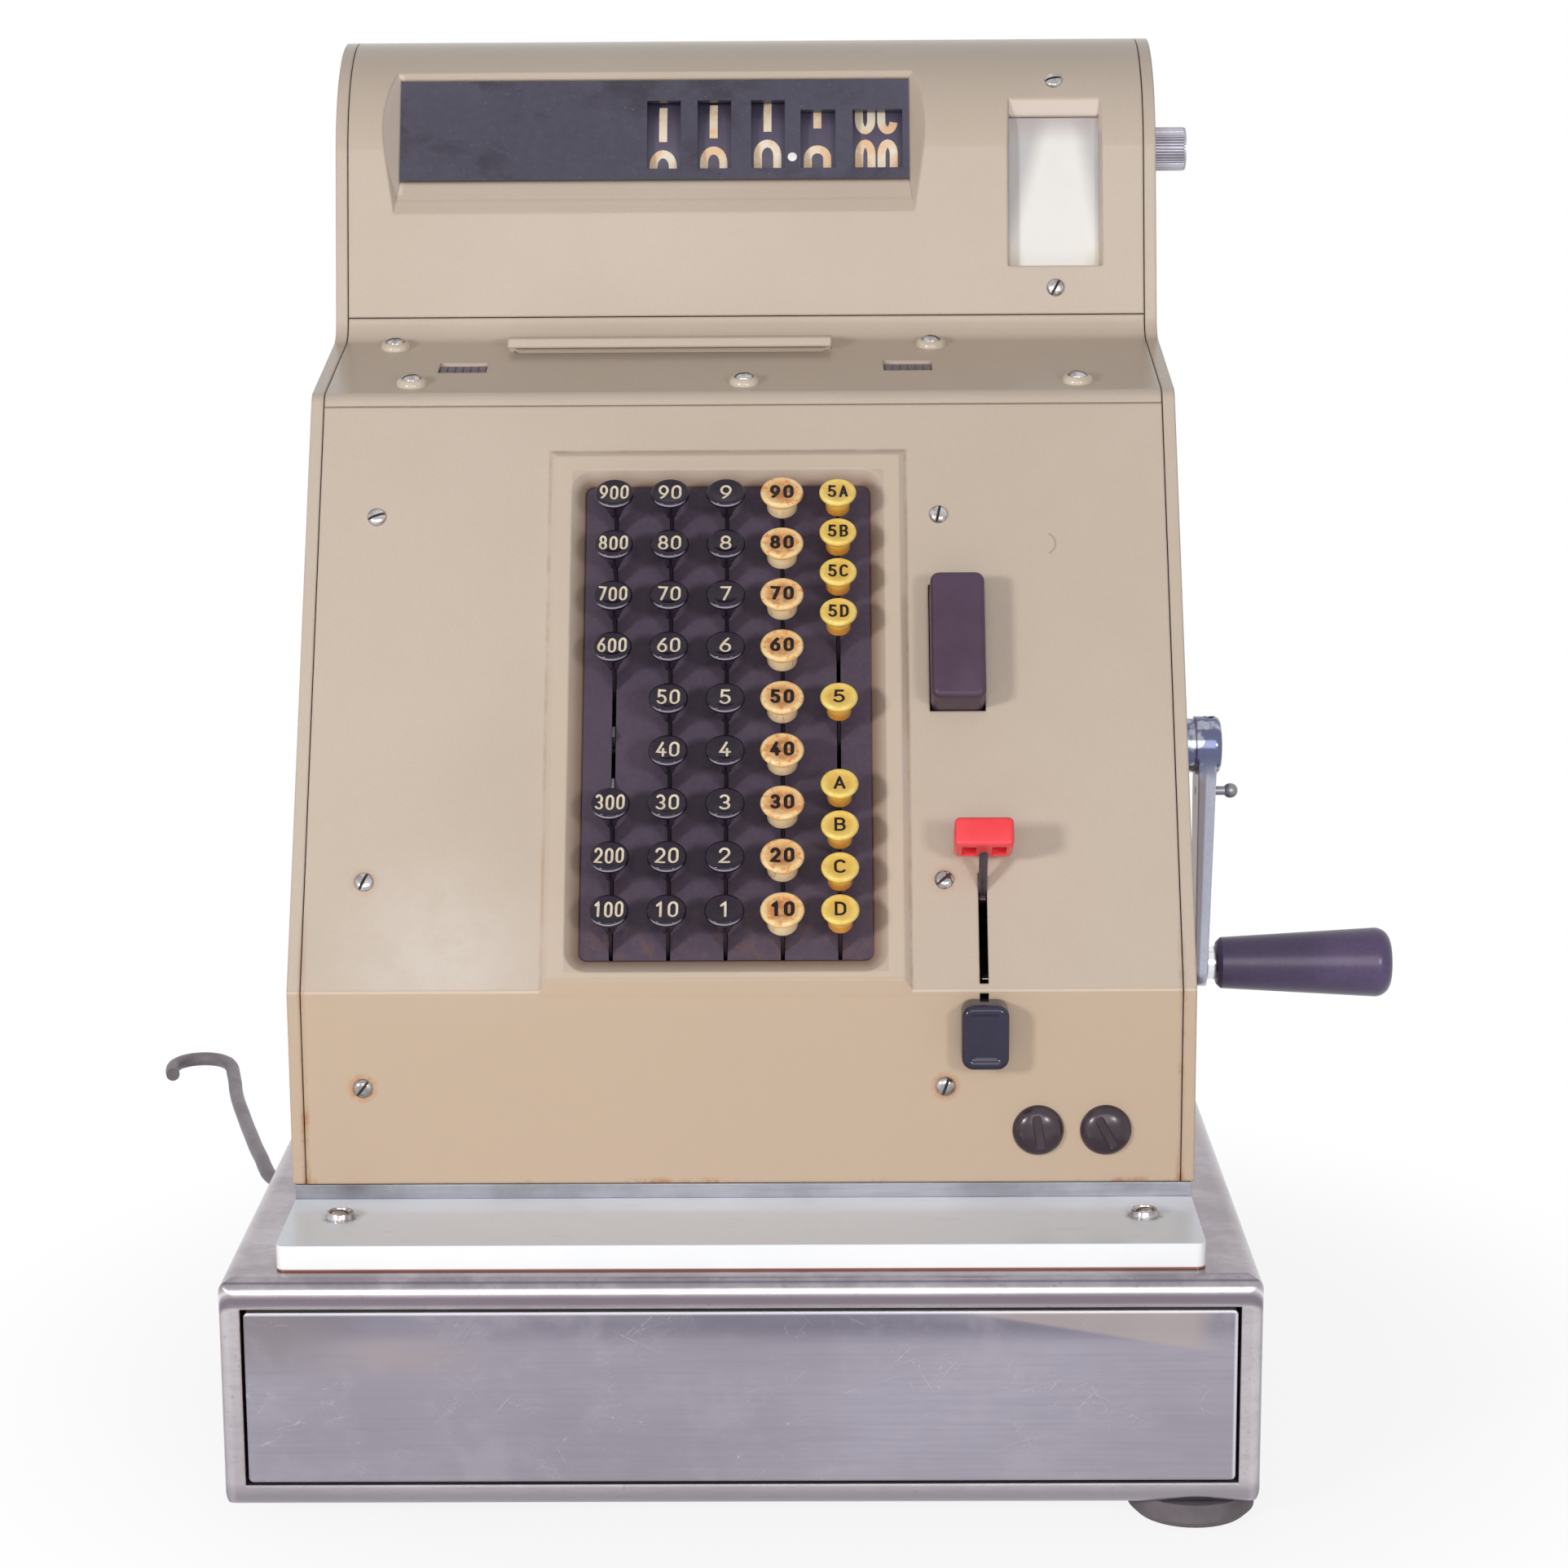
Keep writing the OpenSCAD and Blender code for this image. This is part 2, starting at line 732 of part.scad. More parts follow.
module key_plate() {
    slot_w = stem_t + 2 * stem_gap;
    slot_len = board_h + 2 * over;
    color("darkslategray") place() on_key_panel() translate([board_x, board_mid, plate_n - plate_t])
        difference() {
            linear_extrude(plate_t) round_rect(board_w + 2 * plate_lap, board_h + 2 * plate_lap, board_r);
            for (col = [0:4]) {
                translate([col_x(col) - board_x, 0, -over]) linear_extrude(plate_t + 2 * over)
                    square([slot_w, slot_len], center = true);
            }
        }
}

module print_ledge() {
    lip_y = 66;
    lip_end = 80;
    lip_rise = 7;
    lip_nose = 2;
    slot_w = slot_right - slot_left;
    slot_h = 3;
    slot_d = 4;
    counter_depth = 2;
    color("tan") place() difference() {
        union() {
            across(cover_w) intersection() {
                skin();
                half_plane(lip_seam + seam * key_dir, key_dir);
                half_plane(top_seam, -top_dir);
                half_plane([crown_c[0], 0], [-1, 0]);
            }
            on_ledge() translate([slot_left + slot_w / 2, 0, 0]) across(slot_w) polygon([
                [lip_y - lip_nose, slot_h], [lip_y, lip_rise], [lip_end, slot_h + over], [lip_end, -over],
                [lip_y + slot_d, -over], [lip_y + slot_d, slot_h]
            ]);
        }
        on_ledge() {
            translate([slot_left + sheet, lip_y, -2 * sheet])
                cube([slot_w - 2 * sheet, slot_d, 2 * sheet + slot_h]);
            for (x = counter_x) {
                translate([x, counter_y, -counter_depth]) linear_extrude(counter_depth + over)
                    square(counter_size, center = true);
            }
            for (at = ledge_screws) translate([at[0], at[1], 0]) screw_hole();
        }
    }
}

module indicator_well(grow = 0) {
    on_face(plate_at, plate_lean)
        funnel(plate_left, plate_right, plate_low, plate_high, side_flare, sill_flare, head_flare, grow);
}

module journal_well(grow = 0) {
    flare = journal_flare;
    on_face(cove, top_lean) translate([0, 0, -journal_set])
        funnel(journal_left, journal_right, journal_low, journal_high, flare, flare, journal_head, grow);
}

// A pane behind a recess, lapping its walls, with room all round for the seat
module pane(left, right, low, high, thick, lap, room = 0) {
    translate([left - lap - room, low - lap - room, -thick - room])
        cube([right - left + 2 * (lap + room), high - low + 2 * (lap + room), thick + room]);
}

module indicator_glass(room = 0) {
    on_face(plate_at, plate_lean)
        pane(plate_left, plate_right, plate_low, plate_high, glass_t, well_wall, room);
}

module journal_glass(room = 0) {
    on_face(cove, top_lean) translate([0, 0, -journal_set])
        pane(journal_left, journal_right, journal_low, journal_high, journal_t, well_wall, room);
}

module on_crown_screw() {
    translate([crown_screw_x, crown_c[0], crown_c[1]]) rotate([90 - crown_screw_angle, 0, 0])
        translate([0, 0, crown_r]) children();
}

module top_cover() {
    color("tan") place() difference() {
        union() {
            across(cover_w) intersection() {
                skin();
                half_plane(top_seam + seam * top_dir, top_dir);
            }
            intersection() {
                across(cover_w) outline(0);
                union() {
                    indicator_well(well_wall);
                    journal_well(well_wall);
                }
                across(cover_w) half_plane(top_seam + seam * top_dir, top_dir);
            }
        }
        indicator_well();
        journal_well();
        indicator_glass(screw_gap);
        journal_glass(screw_gap);
        on_crown_screw() screw_hole();
        on_face(cove, top_lean) translate([crown_screw_x, face_screw_t, 0]) screw_hole();
    }
}

module back_cover() {
    color("tan") place() across(cover_w) intersection() {
        skin();
        half_plane(top_seam, -top_dir);
        half_plane([crown_c[0], 0], [1, 0]);
    }
}

module indicator_plate() {
    color("midnightblue") place() difference() {
        indicator_glass();
        on_face(plate_at, plate_lean) for (i = [0:4]) {
            translate([drum_x[i] - window_w[i] / 2, window_low, -glass_t - over])
                cube([window_w[i], window_high[i] - window_low, glass_t + 2 * over]);
        }
    }
}

module journal_pane() {
    color("white") place() journal_glass();
}

// Fasteners and plugs

module screw() {
    cylinder(r1 = screw_head_r, r2 = screw_head_r - 1, h = screw_head_h);
    translate([0, 0, -screw_len + over]) cylinder(r = screw_r, h = screw_len);
}

module cup_screw() {
    cylinder(r1 = cup_r, r2 = cup_r - 2, h = cup_h);
    screw();
    translate([0, 0, cup_h - over]) cylinder(r = screw_head_r, h = screw_head_h);
}

module cover_screws() {
    color("lightgray") place() {
        on_key_panel() for (at = panel_screws) translate([at[0], at[1], 0]) screw();
        on_front() for (at = lower_screws) translate([at[0], at[1], 0]) screw();
        on_ledge() for (at = ledge_screws) translate([at[0], at[1], 0]) cup_screw();
        for (at = plate_screws) translate([at[0], at[1], change_top]) cup_screw();
        on_crown_screw() screw();
        on_face(cove, top_lean) translate([crown_screw_x, face_screw_t, 0]) screw();
    }
}

// Blank plugs: low domes with a short slot, each turned its own way
module panel_plugs() {
    shank = 8;
    color("saddlebrown") place() on_front() for (i = [0, 1]) translate([plug_x[i], plug_z - body_z, 0]) {
        difference() {
            intersection() {
                translate([0, 0, plug_rise - plug_dome_r]) sphere(plug_dome_r);
                cylinder(d = plug_d, h = plug_rise + over);
            }
            rotate(plug_turn[i]) translate([-plug_slot[0] / 2, -plug_slot[1] / 2, plug_rise - plug_slot[2]])
                cube([plug_slot[0], plug_slot[1], plug_slot[2] + over]);
        }
        translate([0, 0, -shank]) cylinder(r = plug_shank_r, h = shank + over);
    }
}

// Frame inside the body

// A side plate in two pieces, parted along the ledge: one below it, one inside the top housing
module side_plates() {
    shelf = lip + frame_in * ledge_in;
    rear = back_y - frame_in;
    front = bend + 2 * frame_in * key_in;
    shelf_rear = meet(shelf, ledge_dir, [rear, 0], [0, 1]);
    across(frame_t) {
        polygon([
            [plinth_y, body_z + joint_gap], front, meet(front, key_dir, shelf, ledge_dir),
            shelf_rear, [rear, body_z + joint_gap]
        ]);
        translate([0, joint_gap]) polygon([
            meet(shelf, ledge_dir, cove + frame_in * top_in, top_dir),
            crown_c - (crown_r - frame_in) * top_in,
            crown_c + [0, crown_r - frame_in],
            back_c + [back_r - frame_in, 0],
            shelf_rear
        ]);
    }
}

// A plinth, side plates, cross rods, a beam with the drums' brackets and shaft, the motor and a lever pivot
module mechanism_frame() {
    plinth_wall = 12;
    plinth_h = body_z - cab_top_z;
    plinth_len = back_y - sheet - over - plinth_y;
    bracket_w = 4;
    bracket_r = 12;
    bracket_z = beam_c[1] + beam / 2 + joint_gap;
    inner_x = frame_x - frame_t - joint_gap;
    shaft_x1 = drum_x[0] - drum_w / 2 - 2 * drum_gap;
    shaft_x2 = drum_x[4] + double_w / 2 + 2 * drum_gap;
    motor_c = [front_y + motor_set, body_z + joint_gap + motor_r];
    color("slategray") place() {
        translate([-frame_x, plinth_y, cab_top_z]) difference() {
            cube([2 * frame_x, plinth_len, plinth_h]);
            translate([plinth_wall, plinth_wall, -over]) cube([
                2 * (frame_x - plinth_wall), plinth_len - 2 * plinth_wall, plinth_h - frame_t + over
            ]);
        }
        difference() {
            for (side = [-1, 1]) translate([side * (frame_x - frame_t / 2), 0, 0]) side_plates();
            along_x(shaft_c, -frame_x - over)
                cylinder(r = shaft_r + run_fit, h = 2 * frame_x + 2 * over);
            along_x(knob_c, frame_x - frame_t - over)
                cylinder(r = spindle_r + run_fit, h = frame_t + 2 * over);
        }
        for (at = rod_set) {
            along_x([front_y, body_z] + at, -inner_x) cylinder(r = rod_r, h = 2 * inner_x);
        }
        translate([-inner_x, beam_c[0] - beam / 2, beam_c[1] - beam / 2]) cube([2 * inner_x, beam, beam]);
        for (x = [shaft_x1 - bracket_w, shaft_x2]) {
            along_x(drum_c, x) cylinder(r = bracket_r, h = bracket_w);
            translate([x, drum_c[0] - bracket_r, bracket_z])
                cube([bracket_w, 2 * bracket_r, drum_c[1] - bracket_z]);
        }
        along_x(drum_c, shaft_x1 + joint_gap)
            cylinder(r = drum_shaft_r, h = shaft_x2 - shaft_x1 - 2 * joint_gap);
        along_x(motor_c, -motor_len) cylinder(r = motor_r, h = motor_len);
        along_x(lever_c, lever_x - lever_pin) cylinder(r = lever_pivot_r, h = inner_x - lever_x + lever_pin);
    }
}

module main_shaft() {
    cam_r = 13;
    cam_w = 6;
    cam_in = 45;
    cam_step = 30;
    tail = 2;
    color("gray") place() {
        along_x(shaft_c, -frame_x - tail) cylinder(r = shaft_r, h = frame_x + arm_x2);
        for (x = [cam_in - frame_x, cam_in + cam_step - frame_x, frame_x - cam_in - cam_w]) {
            along_x(shaft_c, x) cylinder(r = cam_r, h = cam_w);
        }
    }
}

// Crank

// A disc whose outer edge is rounded
module rounded_disc(r, h, edge) {
    rotate_extrude() intersection() {
        union() {
            square([r - edge, h]);
            square([r, h - edge]);
            translate([r - edge, h - edge]) circle(edge);
        }
        square([r, h]);
    }
}

module crank_arm() {
    arm_taper = 3;
    hub_edge = 3;
    hub_lap = 1;
    arm_inset = 0.3;
    arm_r = hub_r - arm_inset;
    pin_x1 = arm_x1 + over;
    oil_r = 2.8;
    color("silver") place() difference() {
        union() {
            along_x(shaft_c, hub_x1) cylinder(r = hub_r - hub_lap, h = arm_x2 - hub_x1);
            along_x(shaft_c, arm_x1 - hub_lap) rounded_disc(hub_r, hub_x2 - arm_x1 + hub_lap, hub_edge);
            intersection() {
                translate([(arm_x1 + arm_x2) / 2, 0, 0]) across(arm_x2 - arm_x1) {
                    translate(shaft_c) circle(arm_r);
                    translate(grip_c) circle(arm_end_r);
                    polygon([
                        shaft_c - [arm_r, 0], shaft_c + [arm_r, 0],
                        grip_c + [arm_end_r, 0], grip_c - [arm_end_r, 0]
                    ]);
                }
                translate([0, shaft_c[0], 0]) rotate([90, 0, 0]) linear_extrude(4 * hub_r, center = true)
                    polygon([
                        [arm_x1, shaft_c[1] + hub_r], [arm_x2, shaft_c[1] + hub_r],
                        [arm_x2 - arm_taper, grip_c[1] - arm_end_r],
                        [arm_x1, grip_c[1] - arm_end_r]
                    ]);
            }
            along_x(grip_c, pin_x1) cylinder(r = neck_r, h = grip_x1 - seam - pin_x1);
            along_x(grip_c, pin_x1) cylinder(r = pin_r, h = grip_x2 - 2 * pin_r - pin_x1);
        }
        along_x(shaft_c, hub_x1 - over) cylinder(r = shaft_r + run_fit, h = arm_x2 - hub_x1);
        along_x(plunger_c, hub_x1) cylinder(r = plunger_r + run_fit, h = hub_x2 - hub_x1 + over);
        translate([(arm_x1 + hub_x2) / 2, shaft_c[0], shaft_c[1] + shaft_r + over])
            cylinder(r = oil_r, h = hub_r);
    }
}

module crank_grip() {
    end_r = 7;
    edge = 2;
    color("black") place() along_x(grip_c, grip_x1) difference() {
        union() {
            rotate_extrude() polygon([
                [0, 0], [grip_r1 - edge, 0], [grip_r1, edge],
                [grip_r2, grip_len - end_r], [0, grip_len - end_r]
            ]);
            rotate_extrude() intersection() {
                union() {
                    square([grip_r2 - end_r, grip_len]);
                    translate([grip_r2 - end_r, grip_len - end_r]) circle(end_r);
                }
                translate([0, grip_len - end_r]) square([grip_r2, end_r]);
            }
        }
        translate([0, 0, -over]) cylinder(r = pin_r + run_fit, h = grip_len - pin_r + over);
    }
}

module crank_plunger() {
    reach = 7;
    color("silver") place() {
        along_x(plunger_c, arm_x1) cylinder(r = plunger_r, h = arm_x2 - arm_x1 + reach);
        along_x(plunger_c, arm_x2 + reach) sphere(ball_r);
    }
}

// Hand controls

module motor_bar() {
    bar_r = 4;
    inside = 10;
    color("purple") place() on_key_panel() translate([bar_x, bar_s, -inside])
        linear_extrude(inside + bar_h) round_rect(bar_w, bar_len, bar_r);
}

// The lever's blade, in the plane across its pivot: Y along the panel, Z out of it
module lever_blade() {
    tip_rise = 23;
    tip_lean = 39;
    rotate(-lever_swing) {
        translate([-lever_w / 2, 0]) square([lever_w, lever_arm]);
        translate([0, lever_arm]) circle(lever_w / 2 + lever_elbow);
        translate([0, lever_arm]) rotate(lever_swing - tip_lean) translate([-lever_w / 2, 0])
            square([lever_w, tip_rise]);
    }
    circle(lever_pivot_r + lever_eye);
}

module red_lever() {
    hub_w = blade_t + 4;
    knob_up = 19;
    knob_out = 21.5;
    knob_s = lever_arm * sin(lever_swing) + knob_up;
    knob_n = lever_arm * cos(lever_swing) + knob_out;
    knob_edge = 2.5;
    color("red") place() on_key_panel() translate([lever_x, lever_s, -lever_arm]) difference() {
        union() {
            across(blade_t) lever_blade();
            across(hub_w) circle(lever_pivot_r + lever_eye - over);
            translate([0, knob_s, knob_n - red_size[2] / 2]) linear_extrude(red_size[2])
                round_rect(red_size[0], red_size[1], knob_edge);
        }
        across(hub_w + 2 * over) circle(lever_pivot_r + run_fit);
    }
}

module black_lever() {
    knob_edge = 5;
    stem_top = black_z + black_size[2] / 2 - over;
    color("black") place() {
        translate([lever_x, front_y - over, black_z]) rotate([90, 0, 0])
            linear_extrude(black_size[1] - over) round_rect(black_size[0], black_size[2], knob_edge);
        translate([lever_x - blade_t / 2, front_y - 2 * over, stem_top - black_stem_h])
            cube([blade_t, black_stem_in, black_stem_h]);
    }
}

module paper_knob() {
    flange = 2;
    core_r = 12;
    tail = 2;
    color("silver") place() {
        along_x(knob_c, side_x + seam) cylinder(r = knob_r, h = knob_len);
        along_x(knob_c, spool_x1 - tail)
            cylinder(r = spindle_r, h = side_x + seam + over - spool_x1 + tail);
        along_x(knob_c, spool_x1) cylinder(r = core_r, h = spool_x2 - spool_x1);
        for (x = [spool_x1, spool_x2 - flange]) along_x(knob_c, x) cylinder(r = spool_r, h = flange);
    }
}

// Indicator drums

module indicator_drum(i) {
    w = drum_widths[i];
    web = 4;
    color("darkslategray") place() along_x(drum_c, drum_x[i] - w / 2) rotate_extrude() {
        translate([drum_r - drum_rim, 0]) square([drum_rim, w]);
        translate([drum_hub_r - over, (w - web) / 2])
            square([drum_r - drum_rim - drum_hub_r + 2 * over, web]);
        translate([drum_shaft_r + run_fit, 0]) square([drum_hub_r - drum_shaft_r - run_fit, w]);
    }
}

// Keys

// Seats a key with its cap's top at the end of a stem that leaves the plate at [x, s]
module key_at(x, s) {
    place() on_key_panel() translate([x, s, plate_n]) rotate([-key_tilt, 0, 0])
        translate([0, 0, key_len]) children();
}

module key_stem(from) {
    translate([-stem_t / 2, -stem_w / 2, -key_len - stem_in])
        cube([stem_t, stem_w, key_len + stem_in - from]);
}

// A dished cap that tapers down to its stem
module tapered_cap(r) {
    deep = 14;
    tip_r = 2.4;
    rotate_extrude() polygon([
        [0, -0.9], [r - 3.4, -0.6], [r - 1, 0], [r - 0.3, -0.3], [r, -1], [r, -2.4], [r - 0.8, -3.2],
        [r - 1.8, -4.6], [tip_r + over, 3 - deep], [tip_r, -deep], [0, -deep]
    ]);
    key_stem(deep - 2 * over);
}

// A mushroom cap: a dished disc on a narrower neck
module mushroom_cap(r) {
    neck = r - 2.6;
    deep = 11;
    rotate_extrude() polygon([
        [0, -0.8], [r - 3.6, -0.5], [r - 1.2, 0], [r - 0.35, -0.35], [r, -1.2], [r - 0.3, -2.2],
        [r - 1.2, -3], [neck + 0.4, -4.2], [neck, -5], [neck - 0.3, 0.5 - deep], [neck - 1, -deep],
        [0, -deep]
    ]);
    key_stem(deep - over);
}

module black_keys_row(row) {
    color("black") for (col = [0:2]) {
        if (col > 0 || len(search(row, hundreds_missing)) == 0)
            key_at(col_x(col), row_s(row)) tapered_cap(black_r);
    }
}

module ivory_key(row) {
    color("antiquewhite") key_at(col_x(3), row_s(row)) mushroom_cap(ivory_r);
}

module yellow_key(s) {
    color("khaki") key_at(col_x(4), s) mushroom_cap(yellow_r);
}

// Cord

module cord_gland() {
    relief_r = cord_d / 2 + 1;
    color("dimgray") place() translate([gland_at[0], cab_d, gland_at[1]]) rotate([-90, 0, 0]) {
        translate([0, 0, -gland_spigot]) cylinder(r = gland_spigot_r, h = gland_spigot + over);
        cylinder(r = gland_flange_r, h = gland_flange_t);
        translate([0, 0, gland_flange_t])
            cylinder(r1 = gland_flange_r - gland_step, r2 = relief_r, h = relief_len);
    }
}

function unit(v) = v / norm(v);

// Direction of the route at point i
function heading(i) = unit(
    cord_route[min(i + 1, len(cord_route) - 1)] - cord_route[max(i - 1, 0)]
        + (i == 0 ? [0, big, 0] : [0, 0, 0])
);

function cord_ring(i) =
    let (h = heading(i), side = unit(cross(h, [0, 0, 1])), up = cross(side, h))
    [for (k = [0:cord_sides - 1])
        cord_route[i] + cord_d / 2 * (cos(360 * k / cord_sides) * side + sin(360 * k / cord_sides) * up)];

module power_cord() {
    last = len(cord_route) - 1;
    points = [for (i = [0:last]) each cord_ring(i)];
    walls = [
        for (i = [0:last - 1], k = [0:cord_sides - 1])
            let (a = i * cord_sides + k, b = i * cord_sides + (k + 1) % cord_sides)
            each [[a, b, b + cord_sides], [a, b + cord_sides, a + cord_sides]]
    ];
    start = [for (k = [cord_sides - 1:-1:0]) k];
    end = [for (k = [0:cord_sides - 1]) last * cord_sides + k];
    color("gray") place() translate([0, cord_y, 0]) polyhedron(points, concat(walls, [start, end]));
}

base_cabinet();
rubber_feet();
drawer_tray();
drawer_front();
change_plate();
trim_strip();
left_side_panel();
right_side_panel();
front_panel();
key_plate();
print_ledge();
top_cover();
back_cover();
indicator_plate();
journal_pane();
cover_screws();
panel_plugs();
mechanism_frame();
main_shaft();
crank_arm();
crank_grip();
crank_plunger();
motor_bar();
red_lever();
black_lever();
paper_knob();
cord_gland();
power_cord();
for (i = [1:5]) indicator_drum(i - 1);
for (row = rows) black_keys_row(row);
for (row = rows) ivory_key(row);
for (i = [0:3]) {
    up = i * letter_pitch;
    yellow_key(letter_low_s + up);
    yellow_key(letter_high_s + up);
}
yellow_key(row_s(5));  // yellow_key_5
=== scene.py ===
import math
import bmesh
import bpy
from mathutils import Matrix, Vector


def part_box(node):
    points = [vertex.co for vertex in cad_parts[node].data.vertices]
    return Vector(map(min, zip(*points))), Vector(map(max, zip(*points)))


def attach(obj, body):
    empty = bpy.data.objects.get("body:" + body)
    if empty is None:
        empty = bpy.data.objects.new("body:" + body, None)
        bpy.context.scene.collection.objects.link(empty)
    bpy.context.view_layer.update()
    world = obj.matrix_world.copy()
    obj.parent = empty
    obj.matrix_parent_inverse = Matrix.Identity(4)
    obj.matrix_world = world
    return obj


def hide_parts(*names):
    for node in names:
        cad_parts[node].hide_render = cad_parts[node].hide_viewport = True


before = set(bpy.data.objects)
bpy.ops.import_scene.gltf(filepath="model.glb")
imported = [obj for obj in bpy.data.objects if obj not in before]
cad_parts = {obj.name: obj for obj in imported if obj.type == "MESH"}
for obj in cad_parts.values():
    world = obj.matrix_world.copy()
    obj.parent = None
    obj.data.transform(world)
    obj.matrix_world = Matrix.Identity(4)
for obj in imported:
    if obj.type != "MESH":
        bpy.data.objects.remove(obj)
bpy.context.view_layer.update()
print("register: frame loaded")

mm = 0.001
rowOrigin = Vector((37.25, 215.0, 0.0))  # the row's origin, seen from the cabinet's front edge


def rowPoint(x, y, z):
    return (Vector((x, y, z)) - rowOrigin) * mm


def sine(degrees):
    return math.sin(math.radians(degrees))


def cosine(degrees):
    return math.cos(math.radians(degrees))


def addObject(name, data):
    made = bpy.data.objects.new(name, data)
    bpy.context.scene.collection.objects.link(made)
    return made


# camera, where the photographer stood
cameraSet = {
    "place": (33.1, -1401.1, 598.3), "yaw": -0.56, "pitch": 11.37, "roll": 0.37, "lens": 82.53,
    "sensor": 36.0, "farthest": 50.0,
}


def setCamera(look):
    yaw, pitch, roll = look["yaw"], look["pitch"], look["roll"]
    ahead = Vector((sine(yaw) * cosine(pitch), cosine(yaw) * cosine(pitch), -sine(pitch)))
    right = Vector((cosine(yaw), -sine(yaw), 0.0))
    down = ahead.cross(right)
    across = right * cosine(roll) + down * sine(roll)
    below = down * cosine(roll) - right * sine(roll)
    data = bpy.data.cameras.new("registerCamera")
    data.lens = look["lens"]
    data.sensor_width = look["sensor"]
    data.clip_end = look["farthest"]
    camera = addObject("registerCamera", data)
    turn = Matrix((across, -below, -ahead)).transposed().to_4x4()
    camera.matrix_world = Matrix.Translation(rowPoint(*look["place"])) @ turn
    bpy.context.scene.camera = camera


setCamera(cameraSet)


# power cord, the same route as the solid one
cordSet = {
    "diameter": 8.0,
    "startY": 464.0,
    "rounding": 1.004,  # how much longer the smooth curve is than its straight steps
    "route": [
        (-108, 0, 45), (-108, 13, 44), (-110, 26, 40), (-116, 36, 34), (-126, 44, 27), (-138, 47, 20),
        (-151, 45, 14), (-163, 40, 9), (-174, 32, 6), (-184, 23, 5), (-194, 14, 4.5), (-205, 5, 4.5),
        (-217, -3, 4.5), (-230, -7, 4.5), (-244, -7, 4.5), (-257, -1, 4.5), (-266, 10, 4.5),
        (-271, 24, 4.5), (-276, 42, 4.5), (-282, 62, 4.5), (-288, 84, 4.5), (-294, 106, 4.5),
        (-300, 129, 4.5), (-306, 152, 4.5), (-311, 174, 4.5), (-315, 195, 4.5), (-319, 214, 4.5),
        (-322, 227, 4.5), (-327, 238, 4.5), (-335, 245, 4.5), (-345, 246, 4.5), (-353, 241, 4.5),
        (-357, 232, 4.5), (-357, 222, 4.5), (-355, 212, 4.5),
    ],
}


def layCord(look):
    points = [rowPoint(x, look["startY"] + y, z) for x, y, z in look["route"]]
    data = bpy.data.curves.new("mainsCord", "CURVE")
    data.dimensions = "3D"
    data.resolution_u = 8
    data.bevel_depth = 1.0  # each knot's own radius gives the size
    data.bevel_resolution = 5
    data.use_fill_caps = True
    line = data.splines.new("BEZIER")
    line.bezier_points.add(len(points) - 1)
    for knot, place in zip(line.bezier_points, points):
        knot.co = place
        knot.handle_left_type = "AUTO"
        knot.handle_right_type = "AUTO"
        knot.radius = look["diameter"] / 2 * mm
    cord = addObject("mainsCord", data)
    bpy.context.view_layer.update()
    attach(cord, "register")
    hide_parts("power_cord")
    return cord


mainsCord = layCord(cordSet)
print("register: camera and cord set")


# node tools: a Value is one output of a node, and what is done to it adds nodes to the same tree
class Value:
    def __init__(self, tree, socket):
        self.tree = tree
        self.socket = socket

    def reckon(self, operation, first, second=0.0):
        return outOf(self.tree, "ShaderNodeMath", {0: first, 1: second}, operation=operation)

    def __add__(self, other):
        return self.reckon("ADD", self, other)

    def __sub__(self, other):
        return self.reckon("SUBTRACT", self, other)

    def __rsub__(self, other):
        return self.reckon("SUBTRACT", other, self)

    def __mul__(self, other):
        return self.reckon("MULTIPLY", self, other)

    def __abs__(self):
        return self.reckon("ABSOLUTE", self)

    def larger(self, other):
        return self.reckon("MAXIMUM", self, other)

    def smaller(self, other):
        return self.reckon("MINIMUM", self, other)

    def fade(self, low, high, start=0.0, end=1.0):
        # runs smoothly from start, where the value is low, to end, where it is high
        settings = {0: self, 1: low, 2: high, 3: start, 4: end}
        return outOf(self.tree, "ShaderNodeMapRange", settings, interpolation_type="SMOOTHSTEP")

    def band(self, start, end, soft):
        # 1 between start and end, fading to 0 outside
        return self.fade(start - soft, start + soft) * self.fade(end + soft, end - soft)

    def mix(self, first, second):
        # a colour: the first where the value is 0, the second where it is 1
        return outOf(self.tree, "ShaderNodeMix", {0: self, 6: first, 7: second}, 2, data_type="RGBA")

    def axes(self):
        made = addNode(self.tree, "ShaderNodeSeparateXYZ", {0: self})
        return [Value(self.tree, socket) for socket in made.outputs]

    def vector(self, operation, other, out=0):
        return outOf(self.tree, "ShaderNodeVectorMath", {0: self, 1: other}, out, operation=operation)

    def along(self, place, axis):
        # how far a point lies along one axis of a face's own frame
        away = self.vector("SUBTRACT", tuple(place.translation))
        return away.vector("DOT_PRODUCT", tuple(place.col[axis].xyz), "Value")

    def distance(self, spot):
        return self.vector("DISTANCE", tuple(spot), "Value")

    def halo(self, spot, near, far):
        # 1 round a spot, gone at the far distance; both distances in millimetres
        return self.distance(spot).fade(far * mm, near * mm)

    def noise(self, scale, detail=3.0, rough=0.55, stretch=None, turn=None):
        at = self
        if turn:  # turned first, then stretched along its own axes
            settings = {"Vector": at, "Scale": tuple(1 / share for share in stretch), "Rotation": turn}
            at = outOf(self.tree, "ShaderNodeMapping", settings, vector_type="TEXTURE")
        elif stretch:
            at = outOf(self.tree, "ShaderNodeMapping", {"Vector": at, "Scale": stretch})
        settings = {"Vector": at, "Scale": scale, "Detail": detail, "Roughness": rough}
        return outOf(self.tree, "ShaderNodeTexNoise", settings, "Fac")

    def scratches(self, scale, turn, width):
        # thin lines where a stretched noise crosses its middle
        return abs(self.noise(scale, 2.0, 0.5, (1.0, 1.0, 0.045), turn) - 0.5).fade(width, 0.0)


